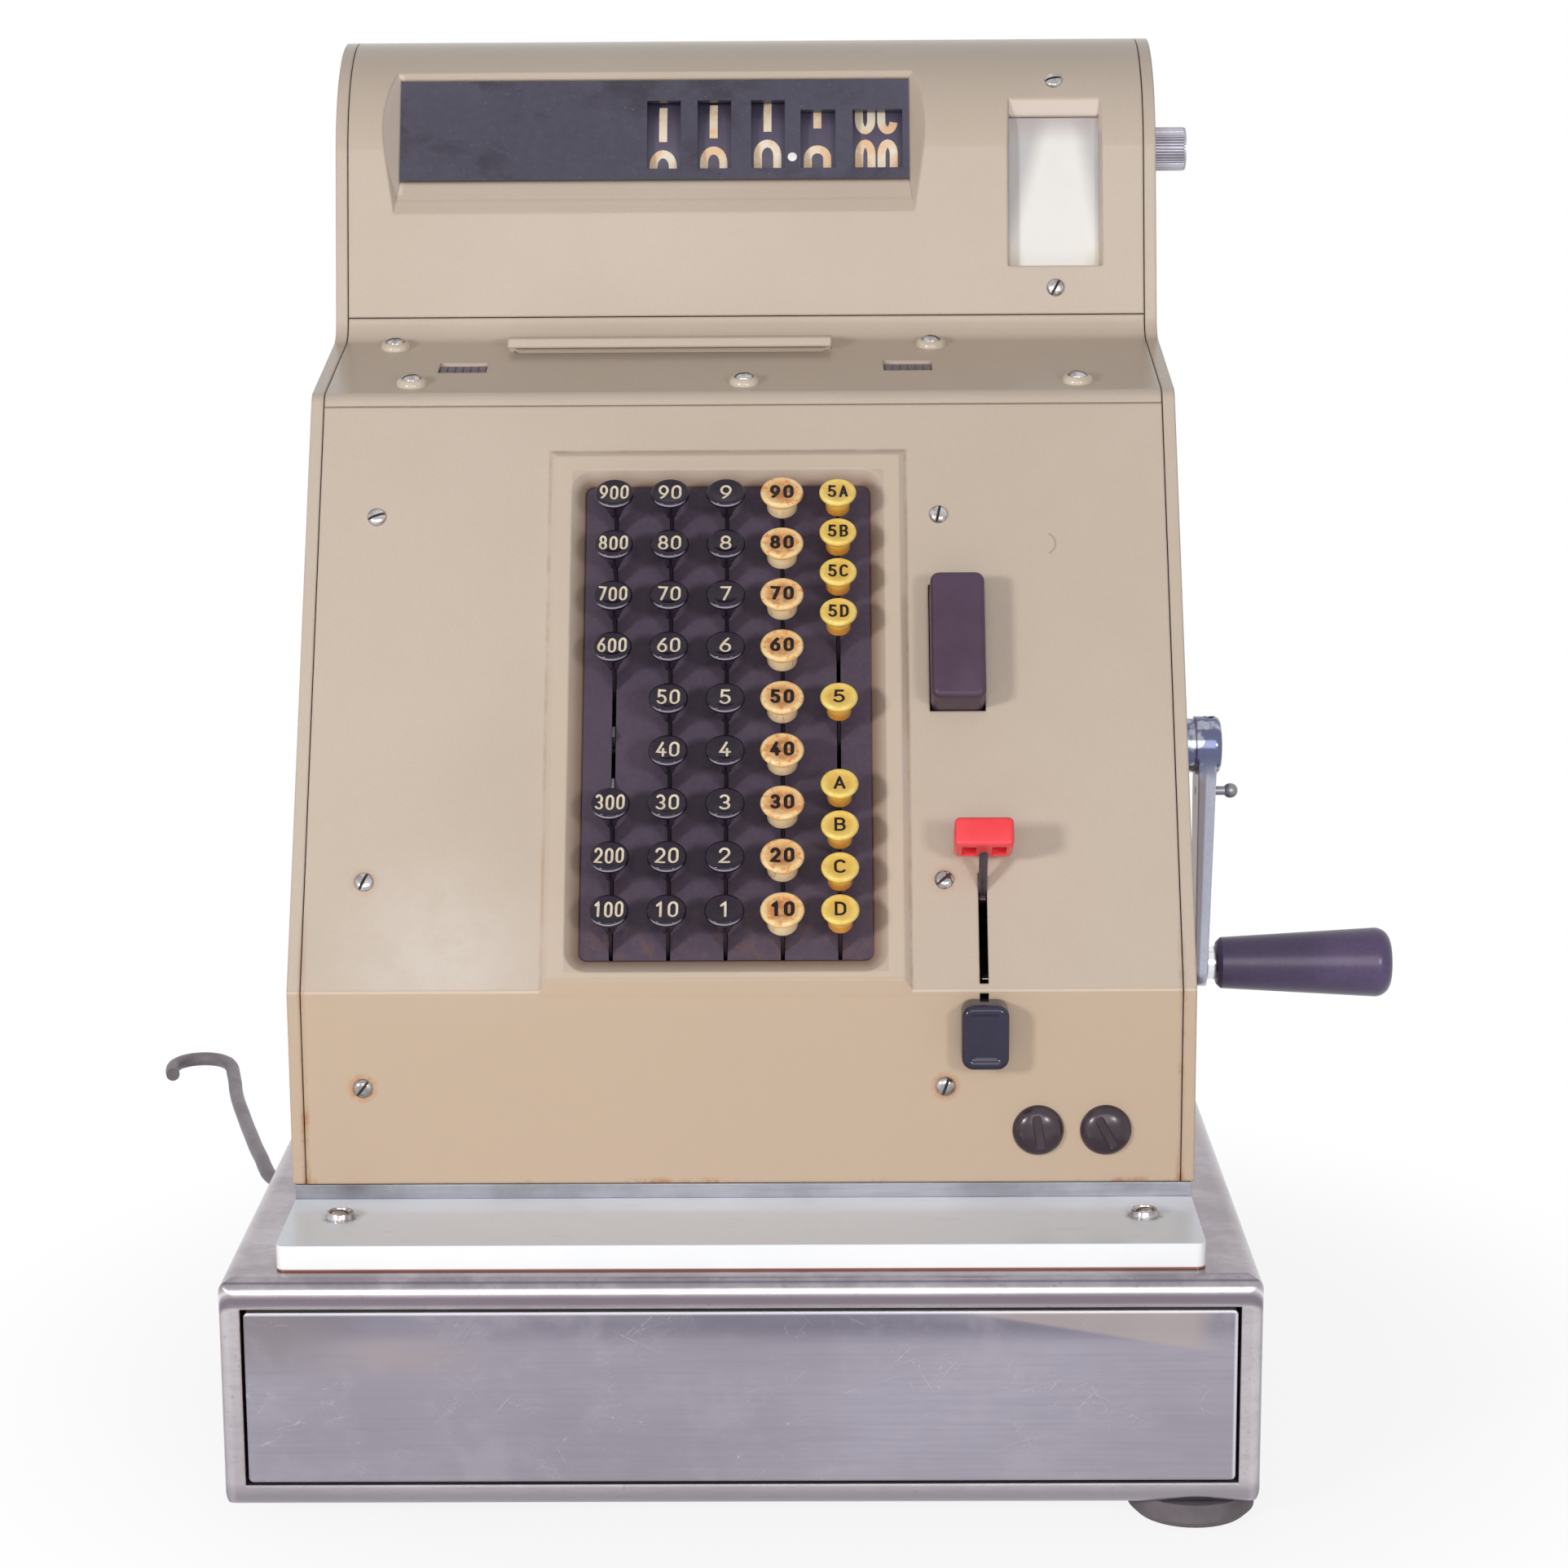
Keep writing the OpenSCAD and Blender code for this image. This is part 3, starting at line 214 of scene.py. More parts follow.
def addNode(tree, kind, values=None, **settings):
    made = tree.nodes.new(kind)
    for key, value in settings.items():
        setattr(made, key, value)
    for key, value in (values or {}).items():
        if isinstance(value, Value):
            tree.links.new(value.socket, made.inputs[key])
        else:
            made.inputs[key].default_value = value
    return made


def outOf(tree, kind, values=None, out=0, **settings):
    return Value(tree, addNode(tree, kind, values, **settings).outputs[out])


def lengthOf(first, second):
    flat = outOf(first.tree, "ShaderNodeCombineXYZ", {0: first, 1: second})
    return outOf(first.tree, "ShaderNodeVectorMath", {0: flat}, "Value", operation="LENGTH")


def emptyTree(owner):
    owner.use_nodes = True
    owner.node_tree.nodes.clear()
    return owner.node_tree


def tint(red, green, blue):
    def linear(value):
        value /= 255.0
        return value / 12.92 if value <= 0.04045 else ((value + 0.055) / 1.055) ** 2.4
    return (linear(red), linear(green), linear(blue), 1.0)


# studio: white floor and surroundings, three soft lamps in front and one behind that nothing mirrors
studioSet = {
    "floorSize": 9.0, "floorTint": (0.8, 0.8, 0.8, 1), "white": (1, 1, 1, 1), "ambient": 0.22,
    "shadow": (0.24, 0.46, 0.86, 1.0),  # the floor's own white from near to far, where the shadow ends
    "lamps": {
        "lampLeft": {"place": (-1250, -1500, 800), "aim": (30, 150, 280), "size": 0.28, "power": 18.0},
        "lampRight": {"place": (920, -1750, 760), "aim": (30, 150, 280), "size": 0.28, "power": 10.0},
        "lampFront": {"place": (40, -2000, 900), "aim": (30, 150, 300), "size": 1.2, "power": 10.5},
        "lampBack": {"place": (30, 2500, 900), "aim": (30, 450, 300), "size": 1.2, "power": 20.0},
    },
    "unmirrored": ("lampBack",),
}


def seenBy(tree, *rays):
    # 1 for the rays that are named, 0 for all others
    path = addNode(tree, "ShaderNodeLightPath").outputs
    seen = Value(tree, path[rays[0]])
    for ray in rays[1:]:
        seen = seen.larger(Value(tree, path[ray]))
    return seen


def setSurroundings(look):
    world = bpy.data.worlds.new("studioWorld")
    bpy.context.scene.world = world
    tree = emptyTree(world)
    seen = seenBy(tree, "Is Camera Ray", "Is Glossy Ray", "Is Transmission Ray")
    soft = outOf(tree, "ShaderNodeBackground", {"Color": look["white"], "Strength": look["ambient"]})
    white = outOf(tree, "ShaderNodeBackground", {"Color": look["white"], "Strength": 1.0})
    blend = outOf(tree, "ShaderNodeMixShader", {0: seen, 1: soft, 2: white})
    addNode(tree, "ShaderNodeOutputWorld", {"Surface": blend})


def setFloor(look):
    mesh = bpy.data.meshes.new("studioFloor")
    half = look["floorSize"] / 2
    corners = [(-half, -half, 0), (half, -half, 0), (half, half, 0), (-half, half, 0)]
    mesh.from_pydata(corners, [], [(0, 1, 2, 3)])
    addObject("studioFloor", mesh)
    mat = bpy.data.materials.new("paleFloor")
    tree = emptyTree(mat)
    place = outOf(tree, "ShaderNodeTexCoord", out="Object")
    away = outOf(tree, "ShaderNodeVectorMath", {0: place}, "Value", operation="LENGTH")
    matte = outOf(tree, "ShaderNodeBsdfDiffuse", {"Color": look["floorTint"]})
    glow = outOf(tree, "ShaderNodeEmission", {"Color": look["white"], "Strength": 1.0})
    amount = seenBy(tree, "Is Camera Ray", "Is Glossy Ray") * away.fade(*look["shadow"])
    blend = outOf(tree, "ShaderNodeMixShader", {0: amount, 1: matte, 2: glow})
    addNode(tree, "ShaderNodeOutputMaterial", {"Surface": blend})
    mesh.materials.append(mat)


def setLamps(look):
    for name, lampLook in look["lamps"].items():
        data = bpy.data.lights.new(name, "AREA")
        data.shape = "SQUARE"
        data.size = lampLook["size"]
        data.energy = lampLook["power"]
        lamp = addObject(name, data)
        start = rowPoint(*lampLook["place"])
        aim = (rowPoint(*lampLook["aim"]) - start).to_track_quat("-Z", "Y").to_matrix().to_4x4()
        lamp.matrix_world = Matrix.Translation(start) @ aim
        lamp.visible_glossy = name not in look["unmirrored"]


bpy.context.scene.view_settings.view_transform = "Standard"
setSurroundings(studioSet)
setFloor(studioSet)
setLamps(studioSet)
print("register: studio set")


# the body's side outline, as (y, z) in millimetres
bodySet = {
    "front": 74.5, "foot": 127.5, "lowerHeight": 84.5, "keySlope": 29.2, "keyRun": 276.0, "sheet": 3.0,
    "ledgeSlope": 11.5, "ledgeLength": 90.0, "topLean": 12.1, "crownTop": 608.0, "crownRadius": 64.5,
    "plateStep": (27.6, 86.1), "plateLean": 23.0,
}


def stepFrom(start, length, lean):
    return (start[0] + length * sine(lean), start[1] + length * cosine(lean))


def crownMiddle(look, cove):
    height = look["crownTop"] - look["crownRadius"]
    lean = look["topLean"]
    y = cove[0] + (height - cove[1]) * math.tan(math.radians(lean)) + look["crownRadius"] / cosine(lean)
    return (y, height)


bendAt = (bodySet["front"], bodySet["foot"] + bodySet["lowerHeight"])
lipAt = stepFrom(bendAt, bodySet["keyRun"], bodySet["keySlope"])
coveAt = stepFrom(lipAt, bodySet["ledgeLength"], 90.0 - bodySet["ledgeSlope"])
crownAt = crownMiddle(bodySet, coveAt)
plateAt = (coveAt[0] + bodySet["plateStep"][0], coveAt[1] + bodySet["plateStep"][1])


def faceFrame(at, lean):
    # X across, Y up the face, Z out of it
    turn = Matrix(((1, 0, 0), (0, sine(lean), -cosine(lean)), (0, cosine(lean), sine(lean)))).to_4x4()
    return Matrix.Translation(rowPoint(0.0, at[0], at[1])) @ turn


def shift(x, y, z):
    return Matrix.Translation(Vector((x, y, z)) * mm)


def spin(degrees, axis):
    return Matrix.Rotation(math.radians(degrees), 4, axis)


keyPanel = faceFrame(bendAt, bodySet["keySlope"])
frontPanel = faceFrame((bodySet["front"], bodySet["foot"]), 0.0)
ledgeFace = faceFrame(lipAt, 90.0 - bodySet["ledgeSlope"])
topFace = faceFrame(coveAt, bodySet["topLean"])
plateFace = faceFrame(plateAt, bodySet["plateLean"])


def spotOn(face, x, up):
    return (face @ shift(x, up, 0.0)).translation


# screws, as (x, distance up the face), and how each slot is turned
screwSet = {
    "panel": [(-161.8, 217.0), (-161.8, 48.8), (86.6, 217.0), (86.6, 48.8)],
    "lower": [(-161.8, 42.5), (86.6, 42.5)],
    "ledge": [(-163.4, 76.0), (86.5, 76.0), (-149.7, 16.0), (0.4, 16.0), (150.7, 16.0)],
    "plate": [(-169.5, 49.5), (169.5, 49.5)],
    "housingX": 145.55, "crownAngle": 44.0, "faceUp": 22.8, "plateTop": 120.5,
    "headRadius": 4.2, "headHeight": 2.2, "slot": (1.2, 1.3), "ledgeSeat": 2.4, "plateSeat": 1.1,
    "panelTurns": [20, 64, 78, 38], "lowerTurns": [52, 70], "housingTurns": [14, 62],
    "ledgeTurns": [18, 150, 24, 8, 160], "plateTurns": [160, 20],
}

# stains and painted light and shade yield how much of each there is, point by point, and its colour, the last
# one on top
# places and sizes named here are in millimetres, distances inside the stains in metres
rustSet = {"near": 3.8, "far": 7.5, "strengths": (0.75, 0.7, 0.3, 0.35)}
rustySpots = [spotOn(frontPanel, x, up) for x, up in screwSet["lower"]]
rustySpots += [spotOn(keyPanel, *screwSet["panel"][n]) for n in (1, 3)]
boardSet = {"x": -6.5, "s": 123.0, "half": (62.5, 108.5), "flare": 6.6, "flat": 6.8, "fall": 3.2}
sheenSet = {"x": -128.0, "s": 14.0, "near": 6.0, "far": 62.0}
hookSet = {"x": 133.0, "s": 203.0, "radius": 5.0, "wide": 0.8, "opening": (1.5, 2.5)}


def panelStains(coord):
    # the frame round the keyboard with painted shade on its inner wall and in its outer crease, a pale
    # painted sheen of lamp light, and a hooked scratch
    x, s, n = (coord.along(keyPanel, axis) for axis in range(3))
    near = abs(n).fade(0.008, 0.006)
    halfX, halfS = (half * mm for half in boardSet["half"])
    outX = abs(x - boardSet["x"] * mm) - halfX
    outS = abs(s - boardSet["s"] * mm) - halfS
    out = outX.larger(outS) * 1000.0  # millimetres out from the opening's edge
    flare = boardSet["flare"]
    outer = flare + boardSet["flat"] + boardSet["fall"]
    shadingNoise = coord.noise(70.0, 4.0, 0.7)
    # painted shade down the frame's inner wall towards the key plate
    slope = out.fade(flare + 0.3, flare - 0.7) * near * n.fade(0.0022, -0.0022, 0.15, 0.8)
    yield slope, (138, 108, 92)
    flat = out.band(flare, outer - boardSet["fall"], 0.4) * near * n.fade(0.0016, 0.0024, 0.0, 0.5)
    yield flat, (206, 186, 166)
    # painted shade in the crease round the frame's outer edge
    crease = out.band(outer - 1.2, outer + 0.4, 0.7) * near * shadingNoise.fade(0.35, 0.62, 0.1, 0.6)
    yield crease, (178, 146, 120)
    # painted sheen: a pale patch where a lamp's light is mirrored in the paint
    paintedReflection = coord.halo(spotOn(keyPanel, sheenSet["x"], sheenSet["s"]), sheenSet["near"], sheenSet["far"])
    paintedReflection = paintedReflection * shadingNoise.fade(0.3, 0.66, 0.22, 0.42) * near
    yield paintedReflection, (228, 220, 212)
    away = coord.distance(spotOn(keyPanel, hookSet["x"], hookSet["s"]))
    hook = abs(away - hookSet["radius"] * mm).fade(hookSet["wide"] * mm, 0.0, 0.0, 0.6)
    hook = hook * x.fade(*((hookSet["x"] + start) * mm for start in hookSet["opening"]))
    yield hook, (150, 134, 104)


def paintStains(coord, local):
    x, y, z = coord.axes()
    bend = bendAt[1] * mm
    upright = rowPoint(0.0, bodySet["front"], 0.0).y
    yield from panelStains(coord)
    # painted shade: the upright lower panel, turned differently to the light, is coloured yellower and darker
    # than the key panel
    lower = y.fade(upright + 0.0008, upright + 0.0001, 0.0, 0.85)
    yield lower, (195, 170, 145)
    aside = abs(x - rowPoint(boardSet["x"], 0.0, 0.0).x)
    fold = lengthOf(y - upright, z - bend).fade(0.0008, 0.0003, 0.0, 0.35) * aside.fade(0.0785, 0.0795)
    yield fold, (232, 220, 206)  # painted highlight along the bend
    axis = rowPoint(0.0, *crownAt)
    radius = bodySet["crownRadius"]
    sunk = lengthOf(y - axis.y, z - axis.z).fade((radius - 0.3) * mm, (radius - 0.9) * mm)
    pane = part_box("journal_pane")
    bevel = sunk * x.band(pane[0].x, pane[1].x, 0.0008) * coord.along(topFace, 1).fade(0.095, 0.1, 0.0, 0.8)
    yield bevel, (226, 210, 200)  # painted light on the head of the window's recess
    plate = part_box("indicator_plate")
    slope = sunk * x.band(plate[0].x - 0.016, plate[0].x + 0.0045, 0.001) * 0.6
    yield slope, (228, 212, 202)  # painted light on the left side of the indicator's recess
    rust = coord.noise(420.0, 4.0, 0.7)
    for spot, strength in zip(rustySpots, rustSet["strengths"]):
        halo = coord.halo(spot, rustSet["near"], rustSet["far"]) * rust.fade(0.25, 0.6, 0.0, strength)
        yield halo, (186, 122, 66)
    edge = coord.noise(38.0, 5.0, 0.7)
    foot = z.fade((bodySet["foot"] + 3.2) * mm, bodySet["foot"] * mm) * edge.fade(0.5, 0.66, 0.0, 0.75)
    low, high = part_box("front_panel")
    for seamX in (low.x, high.x):  # rust creeps out of the two long seams
        seam = abs(x - seamX).fade(0.0026, 0.0006) * z.fade(bend + 0.05, bend - 0.05)
        foot = foot.larger(seam * edge.fade(0.42, 0.62, 0.1, 0.8))
    yield foot, (170, 108, 60)
    cells = outOf(coord.tree, "ShaderNodeTexVoronoi", {"Vector": coord, "Scale": 46.0}, "Distance")
    speck = cells.fade(0.055, 0.02) * coord.noise(7.0, 2.0).fade(0.6, 0.66, 0.0, 0.6)
    yield speck, (120, 92, 70)


drawerWear = {  # in metres
    "wipeLength": 0.118, "wipeSlope": 0.17, "scratchScale": 210.0,
    "scratches": [(0.75, 0.0016), (-0.5, 0.0014), (1.25, 0.0014), (-1.1, 0.0012)],  # turn and width
}


def drawerStains(coord, local):
    x, y, z = coord.axes()
    low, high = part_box("drawer_front")
    depth = high.z - z
    wave = coord.noise(9.0, 3.0, 0.6, (0.6, 1.0, 2.2))
    # painted reflection: a darker wavy band along the top
    top = z.fade(high.z - 0.016, high.z - 0.006) * wave.fade(0.35, 0.62, 0.25, 0.8)
    yield top, (115, 110, 125)
    wedge = (x - (high.x - drawerWear["wipeLength"])) * drawerWear["wipeSlope"]
    wipe = (wedge - depth).fade(-0.0005, 0.0015, 0.0, 0.75) * x.fade(high.x - 0.006, high.x - 0.02)
    yield wipe, (176, 164, 162)  # wiped corner
    smear = x.band(low.x + 0.036, low.x + 0.088, 0.024) * depth.band(0.011, 0.026, 0.008)
    smear = smear * wave.fade(0.34, 0.62, 0.25, 0.75)
    yield smear, (166, 154, 156)
    dull = x.fade(low.x + 0.060, low.x + 0.008, 0.0, 0.8) * depth.fade(0.034, 0.012)
    yield dull, (140, 132, 136)
    cloud = coord.noise(24.0, 5.0, 0.68).fade(0.48, 0.68, 0.0, 0.3)
    yield cloud, (178, 172, 182)
    chosen = coord.noise(34.0, 2.0).fade(0.5, 0.62, 0.0, 0.55)
    for turn, width in drawerWear["scratches"]:
        lines = coord.scratches(drawerWear["scratchScale"], (0.0, turn, 0.0), width) * chosen
        yield lines, (222, 218, 226)
    rim = depth.smaller(high.x - x).fade(0.0017, 0.0006, 0.0, 0.65)
    yield rim, (236, 234, 240)  # painted highlight along the top and right edges


cabinetReflectionBands = {  # painted reflection and highlight bands on the front frame, in millimetres: (start, end, softness), strength, colour
    "stiles": [((2.4, 5.0, 1.2), 0.14, (238, 236, 240)), ((0.4, 1.4, 0.6), 0.5, (120, 112, 128))],
    "topEdge": [((-11.0, -6.4, 1.6), 0.9, (124, 112, 124)), ((0.4, 1.8, 0.9), 0.75, (84, 84, 104)),
                ((-5.0, -3.4, 1.1), 0.6, (250, 250, 252))],
}


def cabinetStains(coord, local):
    x, y, z = coord.axes()
    low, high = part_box("base_cabinet")
    # painted reflection: dark blotches over the top surface
    paintedReflection = coord.noise(22.0, 5.0, 0.7).fade(0.36, 0.66, 0.35, 0.85)
    upper = z.fade(high.z - 0.009, high.z - 0.001) * paintedReflection
    yield upper, (132, 122, 130)
    pits = coord.noise(330.0, 3.0, 0.7).fade(0.60, 0.70, 0.0, 0.4)
    yield pits, (124, 114, 118)
    foot = z.fade(low.z + 0.012, low.z + 0.005, 0.0, 0.75)
    yield foot, (142, 135, 144)
    front = y.fade(low.y + 0.0085, low.y + 0.0070)
    lowIn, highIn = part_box("drawer_front")
    gap = abs(x - lowIn.x).smaller(abs(z - highIn.z))
    rust = coord.noise(60.0, 4.0, 0.7).fade(0.4, 0.6, 0.1, 0.7) * gap.fade(0.0034, 0.0014)
    rust = rust * z.band(lowIn.z, highIn.z + 0.002, 0.0015) * x.band(lowIn.x - 0.002, highIn.x, 0.0015)
    yield rust * front, (170, 134, 110)
    # painted highlights and dark painted reflections along the stiles and the rounded top edge
    stile = (x - low.x).smaller(high.x - x) * z.fade(high.z - 0.010, high.z - 0.014)
    topEdge = (z - high.z) + (y - low.y)
    for value, bands in ((stile, cabinetReflectionBands["stiles"]), (topEdge, cabinetReflectionBands["topEdge"])):
        for limits, strength, shade in bands:
            yield value.band(*(limit * mm for limit in limits)) * front * strength, shade


def glassStains(coord, local):
    x, y, z = coord.axes()
    low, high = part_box("change_plate")
    seat = z.fade(low.z + 0.0012, low.z + 0.0005)
    yield seat, (140, 82, 60)
    # painted reflection: the top face cooler and greyer than the front
    top = z.fade(high.z - 0.0006, high.z - 0.0001, 0.0, 0.9)
    yield top, (234, 240, 250)
    smudge = coord.noise(60.0, 5.0, 0.7, (1.0, 2.5, 1.0)).fade(0.58, 0.72, 0.0, 0.25) * top
    yield smudge, (196, 192, 186)
    broken = coord.noise(150.0, 4.0, 0.7).fade(0.36, 0.58, 0.0, 0.85)
    for screwX, screwY in screwSet["plate"]:
        halo = coord.halo(rowPoint(screwX, screwY, screwSet["plateTop"]), 5.5, 9.5) * broken
        yield halo, (128, 112, 72)


# the lit middle of the pane, a painted beam of light which widens and drifts downwards, in metres
paneLight = {"widening": 0.24, "halfTop": 0.0035, "aside": 0.0035, "drift": 0.05}


def paneStains(coord, local):
    x, y, z = coord.axes()
    low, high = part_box("journal_pane")
    middle = (low.x + high.x) / 2
    drop = high.z - z
    beam = drop * paneLight["widening"] + paneLight["halfTop"]
    lit = (middle + paneLight["aside"]) - drop * paneLight["drift"]
    # painted shade on the pane either side of the lit beam
    side = (abs(x - lit) - beam).fade(-0.002, 0.009, 0.0, 0.85)
    yield side, (184, 182, 184)
    # painted shade under the head of the recess
    head = z.fade(high.z - 0.016, high.z - 0.002, 0.0, 0.75)
    yield head, (178, 164, 160)
    corner = z.fade(low.z + 0.014, low.z + 0.003) * abs(x - middle).fade(0.012, 0.021, 0.0, 0.6)
    yield corner, (206, 196, 168)


def plateStains(coord, local):
    smoke = coord.noise(26.0, 5.0, 0.65, (1.0, 1.0, 1.6)).fade(0.5, 0.68, 0.0, 0.75)
    yield smoke, (42, 38, 52)
    dust = coord.noise(900.0, 2.0, 0.7).fade(0.66, 0.74, 0.0, 0.5)
    yield dust, (132, 126, 138)


def ivoryStains(coord, local):
    x, y, z = local.axes()
    reach = lengthOf(x, y)
    face = z.fade(-0.0016, -0.0006)
    wide = reach.fade(0.0084, 0.0062, 0.0, 0.75) * face
    yield wide, (238, 182, 112)
    patchy = coord.noise(210.0, 4.0, 0.65).fade(0.36, 0.62)
    middle = reach.fade(0.0076, 0.0034) * face * patchy.fade(0.0, 1.0, 0.25, 0.95)
    yield middle, (176, 112, 62)
    blush = coord.noise(320.0, 3.0, 0.6).fade(0.5, 0.64, 0.0, 0.75) * face
    yield blush, (222, 132, 62)
    # painted light on the neck, lifting the shade under the cap
    yield z.fade(-0.0034, -0.0050, 0.0, 0.7), (255, 230, 190)
    streaks = coord.noise(500.0, 3.0, 0.7, (1.0, 1.0, 0.15))
    neck = z.fade(-0.0036, -0.0046) * streaks.fade(0.58, 0.72, 0.0, 0.7)
    yield neck, (206, 122, 70)


def yellowStains(coord, local):
    x, y, z = local.axes()
    yield z.fade(-0.0030, -0.0085, 0.0, 0.85), (226, 142, 34)
    patchy = coord.noise(240.0, 4.0, 0.65).fade(0.5, 0.68, 0.0, 0.5)
    yield patchy, (232, 184, 84)
    dish = lengthOf(x, y).fade(0.0070, 0.0035, 0.0, 0.6) * z.fade(-0.0016, -0.0006)
    yield dish, (224, 166, 52)


def blackStains(coord, local):
    x, y, z = local.axes()
    paintedRimHighlight = z.band(-0.0013, -0.0007, 0.0003) * y.fade(-0.0042, -0.0072) * 0.7
    yield paintedRimHighlight, (196, 192, 206)  # painted highlight along the near rim


crankSet = {  # the shaft, and the arm's painted reflection and highlight bands from the hub's inner end
    "shaft": (170.0, 299.0), "split": 11.2, "bright": 4.6, "outer": 16.2, "taper": 0.016,
}


def chromeStains(coord, local):
    x, y, z = coord.axes()
    low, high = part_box("crank_arm")
    hub = rowPoint(0.0, *crankSet["shaft"])
    reach = lengthOf(y - hub.y, z - hub.z)
    arm = reach.fade(0.012, 0.02)
    inner = (low.x + crankSet["split"] * mm) - reach * crankSet["taper"] - x
    # painted reflection: the arm's inner side brownish, as if mirroring the beige body
    dull = inner.fade(-0.0005, 0.0005, 0.0, 0.8) * arm
    yield dull, (128, 116, 118)
    # painted highlight along the arm's bright edge
    edge = (inner + crankSet["bright"] * mm).fade(0.0006, -0.0002) * arm
    yield edge, (236, 236, 240)
    outer = low.x + crankSet["outer"] * mm
    # painted dim reflection on the stub beyond the arm
    stub = x.fade(outer, outer + 0.0006) * reach.fade(0.03, 0.04)
    yield stub, (150, 148, 154)
    # painted dark blue reflections on the hub
    cloud = coord.noise(75.0, 3.0, 0.6).fade(0.44, 0.54, 0.0, 0.85) * reach.fade(0.020, 0.012)
    yield cloud, (72, 78, 116)


def knobStains(coord, local):
    x, y, z = local.axes()
    # painted shade in the grooves between the ribs
    groove = lengthOf(y, z).fade(0.01036, 0.01012, 0.0, 0.8)
    yield groove, (118, 114, 124)


def figureStains(coord, local):
    warm = coord.noise(95.0, 3.0, 0.6).fade(0.42, 0.62, 0.0, 0.8)
    yield warm, (240, 190, 140)


def keyPlateStains(coord, local):
    x, y, z = coord.axes()
    low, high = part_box("key_plate")
    brown = coord.noise(130.0, 5.0, 0.7).fade(0.46, 0.7, 0.0, 0.5)
    dusty = z.fade(low.z + 0.045, low.z + 0.010) * brown
    yield dusty, (116, 88, 76)


